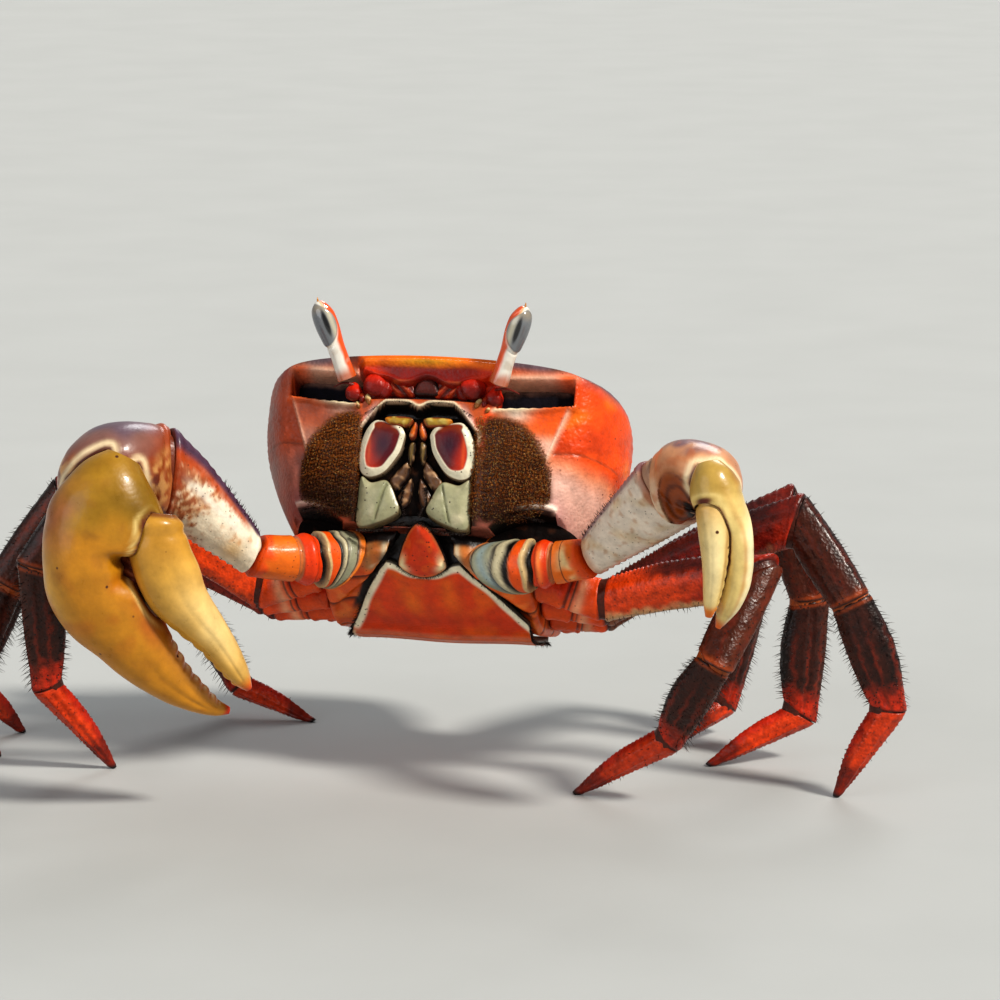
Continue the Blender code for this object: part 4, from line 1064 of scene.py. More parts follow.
def makeClaw(side, across):
    sizes = claws[side]
    outward = np.array([across, 0, 0.0])
    upward = unit(np.array([0.5 * across, 0, 1.0]))
    big = side == "right"
    finger = rowLoft(sizes["finger"], outward, 110, 72)
    palm = rowLoft(sizes["palm"], outward, 150, 96)
    carpus = rowLoft(sizes["carpus"], upward, 80, 80, facing=sizes["elbowFacing"])
    # blunt teeth where the two fingers meet
    for grid, (low, high), facing in ((palm, sizes["fixedTeeth"], pi), (finger, sizes["fingerTeeth"], 0.0)):
        t, away = grid["t"], turnedBy(grid["angle"], facing)
        row = np.abs(np.sin(t * grid["length"] / sizes["toothGap"] * pi)) ** 0.8
        where = ramp(t, low, low + 0.06) * ramp(t, high, high - 0.06)
        grid["reach"] += sizes["teeth"] * where * (row - 0.35) * bell(away, 0, 0.42)
        grid["reach"] -= 0.25 * sizes["teeth"] * where * bell(away, 0.75, 0.2)
    # finger: knob of the hinge and a shallow furrow along each face
    finger["reach"] += 0.5 * bell(finger["t"], 0.06, 0.035) - 0.35 * bell(finger["t"], 0.13, 0.03)
    for grid, low in ((finger, 0.2), (palm, 0.62)):
        furrow = np.minimum(turnedBy(grid["angle"], pi / 2 + 0.25),
            turnedBy(grid["angle"], 3 * pi / 2 - 0.25))
        grid["reach"] -= ((0.28 if big else 0.12) * bell(furrow, 0, 0.13) * ramp(grid["t"], low, low + 0.1)
            * ramp(grid["t"], 0.93, 0.85))
    carpus["reach"] += 0.5 * bell(carpus["t"], 0.1, 0.05) - 0.35 * bell(carpus["t"], 0.17, 0.025)
    made = {}
    for part, grid in (("finger", finger), ("palm", palm), ("carpus", carpus)):
        points = gridPoints(grid)
        flat = points.reshape(-1, 3)
        lumps = softNoise(flat, 6 if big else 4, 5)
        broken = softNoise(flat, 2.0, 6)
        points += grid["ways"] * (0.12 * lumps + 0.03 * broken).reshape(grid["t"].shape)[..., None]
        made[part] = (grid, points, lumps, broken)
    # palm: olive over the wrist, ochre and orange below, mauve on the outer side
    grid, points, lumps, broken = made["palm"]
    t, angle = grid["t"].ravel(), grid["angle"].ravel()
    outer, inner = turnedBy(angle, 0), turnedBy(angle, pi)
    paint = basePaint("#b47a1a" if big else "#dcc27c", len(t))
    if big:
        level = (points.reshape(-1, 3)[:, 2] - 28) / 70       # 0 at the finger tip, 1 at the wrist
        paint = coats(paint,
            ("#97701a", ramp(level + 0.05 * lumps, 0.66, 0.84)),
            ("#70540e", bell(level + 0.05 * lumps, 0.86, 0.08) * ramp(inner, 2, 0.9) * 0.75),
            ("#a0603a", ramp(outer + 0.3 * lumps, 1.35, 0.6) * bell(level, 0.78, 0.12) * 0.85),
            ("#cc9c40", bell(level, 0.5, 0.14) * ramp(outer, 1.4, 0.5) * 0.8),
            ("#a85c12", ramp(lumps, 0, 0.5) * bell(level, 0.45, 0.16) * 0.6),
            ("#a04e10", ramp(inner + 0.4 * lumps, 1.2, 0.5) * bell(level, 0.38, 0.1) * 0.7),
            ("#bc8216", ramp(outer, 1.2, 0.6) * ramp(level, 0.2, 0.08) * 0.8),
            ("#d08a5c", bell(inner, 0, 0.38) * ramp(t, 0.66, 0.7) * ramp(t, 0.97, 0.9) * 0.8),
            ("#f0e0b0", bell(inner, 0, 0.2) * ramp(t, 0.66, 0.7) * ramp(t, 0.97, 0.9)
                * ramp(np.sin(t * grid["length"] / sizes["toothGap"] * 2 * pi), 0.2, 0.9) * 0.7),
            ("#8a5a1a", ramp(softNoise(points, 3.2, 17), 0.15, 0.55) * bell(level, 0.7, 0.3) * 0.35),
            ("#b8300a", ramp(t + 0.02 * lumps, 0.955, 0.99)))
    else:
        paint = coats(paint,
            ("#a88432", ramp(t + 0.06 * lumps, 0.36, 0.14) * 0.8),
            ("#f0e2b4", ramp(outer + 0.3 * lumps, 1.5, 0.8) * ramp(t, 0.35, 0.5) * 0.85),
            ("#9a6224", ramp(outer, 0.9, 0.5) * bell(t, 0.16, 0.12) * 0.5),
            ("#b8742c", bell(outer, 1.25, 0.16) * bell(t, 0.6, 0.3) * 0.55),
            ("#dc6410", ramp(t + 0.03 * lumps, 0.88, 0.96)))
    # along the finger: a cream line on the palm's lip, partly painted highlight, then the palm right beside
    # the finger painted dark brown as painted shade in the gap
    gap = distanceTo(made["finger"][1], points)
    edge = ramp(t, 0.1, 0.18) * ramp(t, 0.66, 0.56)
    paint = coats(paint,
        ("#e6cc86", bell(gap, 1.9 if big else 1.3, 0.5 if big else 0.35) * edge * 0.7),
        ("#5a200c", ramp(gap, 1.3 if big else 0.9, 0.8 if big else 0.5) * edge),
        ("#8a4a1c", ramp(broken, 0.3, 0.6) * bell(outer, 1.5, 0.6) * ramp(t, 0.5, 0.8) * 0.22))
    flat, faces = closeTube(points)
    palmPiece = coverNode("cheliped_palm_" + side, flat, faces, polishedShell, withEnds(paint), 1)
    # finger
    grid, points, lumps, broken = made["finger"]
    t, angle = grid["t"].ravel(), grid["angle"].ravel()
    paint = coats(basePaint("#c4943a" if big else "#d8bc78", len(t)),
        ("#b07e2a", ramp(t + 0.06 * lumps, 0.4, 0.16) * 0.7),
        ("#e4c888", bell(t, 0.62, 0.2) * ramp(turnedBy(angle, pi) + 0.3 * lumps, 2.2, 1.0) * 0.85),
        ("#b4601c", bell(turnedBy(angle, 0), 0, 0.5) * bell(t, 0.32, 0.14) * 0.7))
    if not big:
        paint = coats(paint,
            ("#efe0b0", bell(turnedBy(angle, pi / 2), 0.0, 0.7) * bell(t, 0.5, 0.3) * 0.6),
            ("#8a5a26", bell(turnedBy(angle, pi / 2 - 0.9), 0, 0.18) * bell(t, 0.5, 0.3) * 0.6))
    paint = paintOver(paint, "#6a3010", ramp(t, 0.05, 0.02) * 0.8)
    tipFrom = 0.86 if big else 0.8
    paint = coats(paint,
        ("#dd7a18", ramp(t + 0.02 * lumps, tipFrom, tipFrom + 0.08)),
        ("#c43a10", ramp(t, tipFrom + 0.06, 0.99) * (0.9 if big else 0.4)))
    flat, faces = closeTube(points)
    coverNode("cheliped_dactyl_" + side, flat, faces, polishedShell, withEnds(paint), 1)
    # carpus: glossy purple brown over the top, cream rim below
    grid, points, lumps, broken = made["carpus"]
    if not big:
        # the bare hinge on its front: a ribbed hollow around a dark slot
        spot = np.array([60.0, 0, 86.4]) + standing
        aside, rise = points[..., 0] - spot[0], points[..., 2] - spot[2]
        hollow = np.hypot((aside + 0.35 * rise) / 5.4, (rise - 0.2 * aside) / 9.6)
        hollow = np.where(points[..., 1] < grid["centres"][..., 1] + 1.5, hollow, 9)
        slot = np.where(hollow < 9, np.hypot((aside - 1.6 + 0.5 * rise) / 1.1, (rise + 2.6) / 3.2), 9)
        waver = 2.2 * softNoise(points, 3.5, 19).reshape(hollow.shape)
        ribs = (ramp(hollow, 1, 0.85) * (1.3 + 0.22 * np.sin(hollow * 15 + waver))
            + 0.9 * ramp(slot, 1.2, 0.7))
        points += np.array([-0.1, 1.0, 0]) * ribs[..., None]
        hollow, slot, waver = hollow.ravel(), slot.ravel(), waver.ravel()
    t, angle = grid["t"].ravel(), grid["angle"].ravel()
    height = ((points.reshape(-1, 3)[:, 2] - points[..., 2].min())
        / (points[..., 2].max() - points[..., 2].min()))
    front = points.reshape(-1, 3)[:, 1]
    front = (front.max() - front) / (front.max() - front.min())
    if big:
        paint = coats(basePaint("#84442c", len(t)),
            # mauve and greyish lavender over the upper left: painted highlight over the purple brown
            ("#7c5850", ramp(height + 0.1 * lumps, 0.6, 0.9) * ramp(t, 0.15, 0.4)),
            ("#564656", ramp(height + 0.1 * lumps, 0.84, 0.98) * 0.8),
            ("#a4481a", bell(t, 0.1, 0.12) * 0.8),
            ("#c89458", ramp(height + 0.12 * lumps, 0.76, 0.58) * ramp(front, 0.35, 0.6) * 0.9),
            ("#8a3208", ramp(broken + 0.6 * lumps, -0.25, 0.25) * ramp(front, 0.35, 0.6)
                * ramp(height, 0.8, 0.6) * 0.85),
            ("#5a1c0c", ramp(broken * 0.7 - lumps, 0.15, 0.5) * ramp(height, 0.7, 0.5) * 0.8))
    else:
        paint = coats(basePaint("#c89068", len(t)),
            ("#dcc4a4", ramp(height + 0.15 * lumps, 0.6, 0.35)),
            ("#75585c", ramp(height + 0.08 * lumps, 0.88, 0.98)),
            ("#b8683c", ramp(broken + lumps, 0, 0.6) * 0.55),
            ("#a4562c", bell(front, 0.75, 0.2) * bell(height, 0.55, 0.3) * 0.4),
            ("#8a4010", ramp(hollow + 0.1 * lumps, 1.1, 0.8)),
            ("#4a1804", ramp(hollow, 1, 0.8) * ramp(np.sin(hollow * 15 + waver), 0, 0.8) * 0.7),
            ("#100604", ramp(slot, 1.15, 0.85)))
    # a cream rim where it meets the palm, then the carpus right beside the palm painted dark as painted shade
    # in the crease
    gap = distanceTo(made["palm"][1], points)
    paint = coats(paint,
        ("#e8d4ac", bell(gap, 2.2, 0.9) * 0.9),
        ("#4a1d10", ramp(gap, 1.4, 0.8)))
    flat, faces = closeTube(points)
    carpusPiece = coverNode("cheliped_carpus_" + side, flat, faces, polishedShell,
        withEnds(paint), 0.8)
    if big:
        # folded skin in the gap between the palm and the finger's base
        pad, padFaces = pebble(np.array([-80.4, -61.0, 66.4]) + standing, (4.4, 5.0, 9.4), 0, 0, 90, 64,
            (-0.12, 0, 1))
        folds = np.sin(pad[:, 2] * 2.1 + pad[:, 0] * 0.9) * 0.28 + 0.2 * softNoise(pad, 2.0, 33)
        pad = pad + unit(pad - pad.mean(0)) * folds[:, None]
        # the fold crests painted lighter: painted highlight
        tone = paintOver(basePaint("#5a2210", len(pad)), "#8e4a22", ramp(folds, -0.1, 0.35) * 0.7)
        makePiece("claw_gap_skin", pad, padFaces, foldedCuticle, tone)
    room = 0.55 if big else 0.4
    hollowOut(palmPiece, makeCutter("bed", rowLoft(sizes["finger"], outward, 60, 48, room=room),
        foldedCuticle, "#5c2a16"))
    hollowOut(carpusPiece, makeCutter("bed", rowLoft(sizes["palm"], outward, 70, 56, room=0.5),
        foldedCuticle, "#4a2114"))


def makeArm(side, across):
    # merus of the claw: a three-edged club, pale below, with a dark bristly upper edge
    hip, merus = ["cheliped_%s_%s" % (part, side) for part in ("hip", "merus")]
    base = limbBase(hip, 1.2)
    shoulder, elbow = jointBetween(hip, merus), np.array(claws[side]["carpus"][0][:3]) + standing
    shoulderWay = unit(unit(shoulder - base) + unit(elbow - shoulder))
    elbowWay = unit(np.array(claws[side]["elbowFacing"]))
    broad = unit(np.cross(elbow - shoulder, [0, -1.0, 0]))
    broad = broad if broad[2] > 0 else -broad
    grid = limbGrid(merus, shoulder, shoulderWay, elbow, elbowWay, broad, 110, 72)
    nearest = roundEnds(grid, lip=0.4, groove=0.1, depth=1.0)
    t, angle, length = grid["t"], grid["angle"], grid["length"]
    upper, lower = turnedBy(angle, 0), turnedBy(angle, pi)
    body = ramp(nearest, 0.8, 3)
    teeth = np.abs(np.sin(t * length / 1.9 * pi)) ** 2
    grid["reach"] += (body * (0.5 * bell(upper, 0, 0.16) * (0.5 + 0.5 * teeth)
        + 0.5 * bell(lower, 0, 0.13) * (0.4 + teeth) - 0.35 * bell(turnedBy(angle, pi / 2), 0, 0.5)))
    points = gridPoints(grid)
    lumps = softNoise(points, 5, 8)
    broken = softNoise(points, 1.5, 9)
    points += grid["ways"] * (0.1 * lumps + 0.05 * broken).reshape(t.shape)[..., None]
    t, angle = t.ravel(), angle.ravel()
    upper, lower = turnedBy(angle, 0), turnedBy(angle, pi)
    if side == "right":
        paint = coats(basePaint("#ece0c8", len(t)),
            ("#d8a858", bell(t, 0.22, 0.08) * bell(lower, 1.2, 0.7) * 0.6))
        grit = softNoise(points, 0.7, 18)
        paint = coats(paint,
            ("#c08040", ramp(broken * 0.6 + lumps * 0.6 + (t - 0.42) * 1.5, 0.0, 0.6) * 0.75),
            ("#8a3808", ramp(broken * 0.8 + grit * 0.7 + lumps * 0.3 + (t - 0.6) * 1.7, 0.0, 0.6) * 0.8),
            ("#c8581c", bell(lower, 0.1, 0.3) * ramp(t, 0.3, 0.5) * 0.6),
            ("#9a3a10", ramp(t + 0.06 * lumps, 0.86, 0.97) * 0.8),
            # a narrow whiter line along the upper flank: painted highlight
            ("#f0e6d6", bell(upper, 0.95, 0.14) * ramp(t, 0.15, 0.3) * ramp(t, 0.95, 0.7) * 0.8),
            ("#b0440c", ramp(upper + 0.12 * grit, 0.66, 0.42) * ramp(t, 0.12, 0.3) * 0.9),
            ("#4c3448", ramp(upper, 0.4, 0.2)))
    else:
        paint = coats(basePaint("#d8cab8", len(t)),
            ("#c8ae84", ramp(lumps, 0, 0.5) * 0.6),
            ("#b0805c", ramp(broken + 0.5 * lumps, 0.2, 0.6) * 0.5),
            ("#a05a34", ramp(t + 0.06 * lumps, 0.9, 0.99) * 0.8),
            ("#b87850", ramp(t, 0.12, 0.03) * 0.8),
            ("#7a5560", ramp(upper, 0.32, 0.14) * 0.8),
            ("#a8795c", bell(lower, 0, 0.1) * 0.5))
    near = nearest.ravel()
    paint = paintOver(paint, "#5a2410", ramp(near, 0.7, 0.2) * 0.8)
    flat, faces = closeTube(points)
    # the elbow's soft core reaches on into the wrist piece
    core = points[-6].mean(0) + (points[-6] - points[-6].mean(0)) * 0.9
    deeper = np.stack([core + elbowWay * step for step in (0, 1.5, 3.0, 4.5)])
    plug, plugFaces = closeTube(deeper)
    tone = "#6a2c12" if side == "right" else "#a8826a"
    flat, faces, paint = joinShapes([(flat, faces, withEnds(paint)),
                                     (plug, plugFaces, basePaint(tone, len(plug)))])
    coverNode(merus, flat, faces, porousPlate, paint, 0.55)
    addBristles("claws", grid, points, 0.0, 0.22, (0.04, 0.6), 0.42, 1.5, 900 + across,
        10 + across, thick=0.1)
    addBristles("claws", grid, points, pi, 0.2, (0.1, 0.9), 1.6, 1.0, 910 + across, 12 + across, thick=0.08)
    # hip: nested rings, then a drum, then the block that holds the arm
    grid = limbGrid(hip, base, bodyWay(across * 8, 16.5, 0), shoulder, shoulderWay,
        np.array([0, 0, 1.0]), 120, 72)
    t, angle = grid["t"], grid["angle"]
    rings = (("#d87420", 0.0, 0.05, 2.2), ("#1c100c", 0.05, 0.065, 1.7), ("#8a8a72", 0.065, 0.14, 1.9),
             ("#4a463c", 0.14, 0.16, 1.5), ("#b4aa8a", 0.16, 0.192, 1.9), ("#100806", 0.192, 0.222, 1.1),
             ("#dc5208", 0.222, 0.30, 1.5), ("#c8aa78", 0.30, 0.33, 1.6), ("#140a08", 0.33, 0.375, -0.9),
             ("#d83c04", 0.375, 0.56, 0.1), ("#c06a30", 0.56, 0.60, -0.7), ("#3a1408", 0.60, 0.612, -1.0),
             ("#dc6a10", 0.612, 1.01, 0.2))
    lift = np.zeros_like(t)
    # the rings crowd together at the underside and spread on the front
    under = ramp(turnedBy(angle, pi), 1.1, 0.0)
    slant = t + (0.05 * under - 0.03 * np.cos(angle)) * ramp(t, 0.5, 0.2) * ramp(t, 0, 0.06)
    wavering = softNoise((grid["centres"] + grid["ways"] * 7), 4.5, 13).reshape(t.shape)
    slant = slant + 0.028 * wavering * ramp(t, 0, 0.08) * ramp(t, 0.6, 0.4)
    paint = basePaint("#c9bfa2", t.size)
    flatT, flatAngle = t.ravel(), angle.ravel()
    for colour, low, high, raised in rings:
        inside = ramp(slant, low - 0.007, low + 0.007) * ramp(slant, high + 0.007, high - 0.007)
        lift += raised * inside
        paint = paintOver(paint, colour, inside.ravel())
    grid["reach"] += lift + 0.9 * bell(t, 0.465, 0.06)
    grid["reach"] *= 1 - 0.12 * ramp((1 - t) * grid["length"], 1.0, 0.1)
    points = gridPoints(grid)
    lumps = softNoise(points, 3, 12)
    points += grid["ways"] * (0.12 * lumps).reshape(t.shape)[..., None]
    fromFront = turnedBy(flatAngle, pi / 2)
    paint = coats(paint,
        ("#ee8440", bell(flatT, 0.47, 0.035) * ramp(fromFront, 0.9, 0.3) * 0.8),
        ("#8a2408", bell(flatT, 0.425, 0.01) * 0.6),
        ("#e8cc94", bell(flatT, 0.80, 0.1) * ramp(lumps, -0.35, 0.3) * ramp(fromFront, 1.3, 0.5) * 0.9),
        ("#d84404", ramp(flatT + 0.1 * lumps, 0.84, 0.95) * 0.8),
        ("#7c98a4", bell(flatT, 0.11, 0.02) * ramp(fromFront, 1.2, 0.5) * 0.5),
        ("#2a1208", bell(flatT, 0.735, 0.006) * ramp(fromFront, 2.2, 1.4)))
    flat, faces = closeTube(points)
    coverNode(hip, flat, faces, porousPlate, withEnds(paint), 0.6)
    addBristles("claws", grid, points, 0.6, 3.1, (0.33, 0.37), 0.035, 0.9, 920 + across, 14 + across,
        thick=0.06)


for sideName, sideSign in bothSides:
    makeClaw(sideName, sideSign)
    makeArm(sideName, sideSign)
print("claws made")

# Plates, mouth and belly
def domedPlate(outline, place, crown, edge, thick, rings=16, count=132):
    # a solid plate: place turns its own x, y and height into the body's frame
    rim = closedCurve(outline, count)
    middle = rim.mean(0)
    shares = 1 - (np.arange(rings) / rings) ** 1.25
    flat = np.vstack([rim[None], middle + (rim - middle) * shares[:, None, None]]).reshape(-1, 2)
    flat = np.vstack([flat, middle])
    inside = np.clip(edgeDistance(flat, rim), 0, None)
    height = crown * (1 - (1 - np.clip(inside / edge, 0, 1)) ** 2)
    height[:count] = -thick
    faces = gridFaces(rings + 1, count, wrap=True)
    last = rings * count
    faces += [[last + side, last + (side + 1) % count, len(flat) - 1] for side in range(count)]
    faces.append(list(range(count))[::-1])
    return np.stack(place(flat[:, 0], flat[:, 1], height), -1), faces, inside, flat


def facePlace(offset, shift=0.0):
    return lambda x, y, height: (x + shift, faceForward(x + shift, y) + offset + height, y)


mouth = {
    "middle": -1.9,
    # outlines from the middle line outwards
    "merus": [(3.5, -7.2), (5.1, -5.2), (8.4, -4.4), (11.8, -3.9), (14.0, -5.7), (15.4, -8.7), (16.1, -11.9),
        (16.0, -14.5), (15.0, -17.2), (12.9, -18.3), (10.4, -18.0), (8.2, -16.8), (6.2, -14.5),
        (4.5, -11.9), (3.7, -9.2)],
    "ischium": [(7.6, -19.2), (12.0, -19.6), (15.0, -18.2), (15.5, -24), (15.2, -30.4), (10.4, -30.2),
        (4.0, -27.2), (5.0, -23.2)],
    "palp": [(1.5, -3.7), (4.6, -3.1), (8.8, -3.3), (9.0, -4.3), (7.4, -5.1), (4.6, -5.5), (2.4, -5.4)],
    "inner": [(0.3, -5.0), (1.2, -4.3), (2.4, -7.4), (1.7, -8.6), (0.5, -7.6)],
    "flesh": [(2.4, -13.5), (5.4, -16.2), (7.4, -19.0), (5.6, -21.2), (3.6, -19.4), (2.0, -17.0)],
    "lowflesh": [(1.2, -17.8), (3.4, -20.4), (4.8, -23.0), (3.6, -25.4), (1.8, -24.6), (0.9, -21.5)],
    "crest": [(0.7, -9.2), (2.2, -9.4), (2.5, -12.4), (1.6, -14.8), (0.7, -12.2)],
}


def makeMouth():
    for side, across in bothSides:
        place = lambda offset: (lambda x, y, h: (x * across + mouth["middle"],
            faceForward(x * across + mouth["middle"], y) + offset + h, y))
        shapes, spots = [], []
        # a broad pale band along the outer side, a narrow one along the inner, none at the top
        points, faces, inside, flat = domedPlate(mouth["merus"], place(-0.6), 1.5, 3.6, 2.6, 34, 200)
        cloud = softNoise(points, 3, 21)
        alongX, alongU = flat[:, 0], flat[:, 1]
        border = 1.35 + 0.75 * ramp(alongX, 9, 13.5) - 1.2 * ramp(alongU, -6.5, -4.6)
        core = ramp(inside + 0.12 * cloud - border, -0.2, 0.25)
        points[:, 1] -= 0.32 * core * ramp(inside, 0.1, 0.6)
        paint = coats(basePaint("#d6cfb6", len(points)),
            ("#94a08c", ramp(alongX, 13, 15) * ramp(cloud, -0.1, 0.4) * 0.5))
        inner = paintOver(basePaint("#640c08", len(points)), "#b02804",
            ramp(alongX - 0.35 * (alongU + 13) + cloud, 9, 13.5))
        inner = coats(inner,
            ("#803008", ramp(alongU + cloud, -8, -5.5) * 0.8),
            ("#300822", bell(np.hypot((alongX - 9.0) / 1.3, (alongU + 10.4) / 1.7), 0, 2.1) * 0.9),
            ("#d8602c", bell(alongX, 13, 0.5) * 0.4))
        paint += (inner - paint) * core[:, None]
        paint = paintOver(paint, "#5a3a20", ramp(inside, 0.14, 0) * 0.8)
        shapes.append((points, faces, paint))
        spots.append(1 - core)
        points, faces, inside, flat = domedPlate(mouth["ischium"], place(-0.9), 1.3, 3.2, 2.8, 22, 160)
        fold = np.abs(flat[:, 0] - 9.0 + 0.28 * (flat[:, 1] + 25))
        points[:, 1] -= 0.45 * bell(fold, 0, 0.35) * ramp(inside, 0.4, 1.2)
        cloud = softNoise(points, 4, 22)
        paint = coats(basePaint("#9a9878", len(points)),
            ("#c0b898", ramp(cloud, 0, 0.5) * 0.8),
            ("#7e8464", bell(fold, 0, 0.9) * 0.6),
            ("#6e6a48", bell(fold, 0, 0.22) * ramp(inside, 0.3, 1) * 0.8),
            ("#5a4426", ramp(inside, 0.35, 0) * 0.75))
        shapes.append((points, faces, paint))
        spots.append(np.ones(len(points)))
        for key, offset, crown, colour, rim in (
                ("palp", -0.2, 0.5, "#a8862e", "#7a3408"), ("inner", -0.9, 0.7, "#d0640c", "#6a2408"),
                ("flesh", -2.4, 0.8, "#5e4028", "#20100a"), ("lowflesh", -2.6, 0.8, "#684428", "#20100a"),
                ("crest", -1.6, 0.7, "#6a5428", "#241408")):
            points, faces, inside, flat = domedPlate(mouth[key], place(offset), crown, 1.2, 1.5, 12, 90)
            cloud = softNoise(points, 1.6, 23)
            points[:, 1] += 0.25 * cloud * (inside > 0.2)
            paint = paintOver(basePaint(colour, len(points)), rim, ramp(inside + 0.2 * cloud, 0.7, 0.1))
            paint = paintOver(paint, "#d8c46a" if key == "palp" else "#c8a078", ramp(cloud, 0.1, 0.5) * 0.5)
            if key == "palp":        # its joint, and an orange end
                paint = coats(paint,
                    ("#5a3008", bell(flat[:, 0] + 0.4 * flat[:, 1], 0.6, 0.22) * 0.8),
                    ("#c87a14", ramp(flat[:, 0], 7.2, 8.6) * 0.7))
            shapes.append((points, faces, paint))
            spots.append(np.full(len(points), 0.5))
        points, faces, paint = joinShapes(shapes)
        coverNode("maxilliped_" + side, toWorld(points), faces, porousPlate, paint,
            np.concatenate(spots))


# Eyes and feelers
def makeEye(side, across):
    name = "eye_" + side
    vertices = np.array([tuple(p) for p in nodeSurface(name)[1]])
    order = vertices[:, 2].argsort()
    base, tip = vertices[order[:10]].mean(0), vertices[order[-6:]].mean(0)
    axis = unit(tip - base)
    facing = unit(np.array([-0.02, -1, 0.1]))
    rings, sides = 110, 72
    grid = limbGrid(name, base, axis, tip, axis, facing, rings, sides, smoothing=0)
    t = grid["t"]
    # the direction each point faces, as right or left of the crab's middle
    medial = np.einsum("rsk,k->rs", grid["ways"], unit(np.array([-across, 0, 0.0])))
    front = np.einsum("rsk,k->rs", grid["ways"], facing)
    turn = np.arctan2(-medial, front)
    cornea = np.hypot((t - 0.715) / 0.27, (turn - 0.75) / 1.75)
    bulb = ramp(cornea, 1.03, 0.93)
    ridge = bell(medial, 1, 0.35) * ramp(t, 0.1, 0.3)
    # a slim stalk that swells into a rounded end
    profile = 2.2 + 0.5 * ramp(t, 0.3, 0) + 0.65 * ramp(t, 0.35, 0.7)
    profile = profile * np.sqrt(np.clip(1 - (np.clip(t - 0.74, 0, None) / 0.262) ** 2.2, 0.0004, 1))
    grid["reach"] = (profile + (0.3 * bulb + 0.3 * ridge * ramp(t, 0.95, 0.8)
        - 0.22 * bell(cornea, 1.1, 0.06)) * ramp(t, 0.99, 0.9))
    points = gridPoints(grid)
    cloud = softNoise(points, 2.5, 31)
    t, medial, turn = t.ravel(), medial.ravel(), turn.ravel()
    cornea = cornea.ravel()
    paint = coats(basePaint("#ddd8cc", t.size),
        ("#d8500e", ramp(medial + 0.15 * cloud, 0.3, 0.65)),
        ("#e0a040", bell(medial, 0.35, 0.15) * ramp(t, 0.5, 0.8) * 0.7),
        ("#b8a894", ramp(cloud, 0.1, 0.5) * ramp(t, 0.45, 0.3) * 0.5),
        ("#b05020", ramp(t + 0.05 * cloud, 0.2, 0.05) * 0.85),
        ("#6c7074", ramp(cornea, 1, 0.94)),
        # a pale patch on the cornea beside its dark stripe: painted highlight
        ("#c6bfa6", ramp(cornea, 0.98, 0.9) * bell(turn, -0.55, 0.28) * 0.8),
        ("#9a8c74", ramp(cornea, 0.98, 0.9) * ramp(t, 0.82, 0.94) * 0.6),
        ("#44474c", ramp(cornea, 0.98, 0.9) * bell(turn, 1.6, 0.5) * 0.6),
        ("#efe9dc", bell(cornea, 1.06, 0.05) * ramp(t, 0.8, 0.5) * 0.7))
    slit = np.hypot((t - 0.72) / 0.18, (turn + 0.06) / 0.24)
    paint = paintOver(paint, "#0a0a0c", ramp(slit, 1.15, 0.6))
    flat, faces = closeTube(points)
    paint = withEnds(paint)
    spine, spineFaces = pebble(points[-1].mean(0) + axis * 0.2, (0.26, 0.26, 0.75), 0.3, 0, 14, 14,
        way=(0.1 * across, 0, 1))
    flat, faces, paint = joinShapes([(flat, faces, paint),
        (spine, spineFaces, basePaint("#b8792c", len(spine)))])
    coverNode(name, flat, faces, glossyCornea, paint)


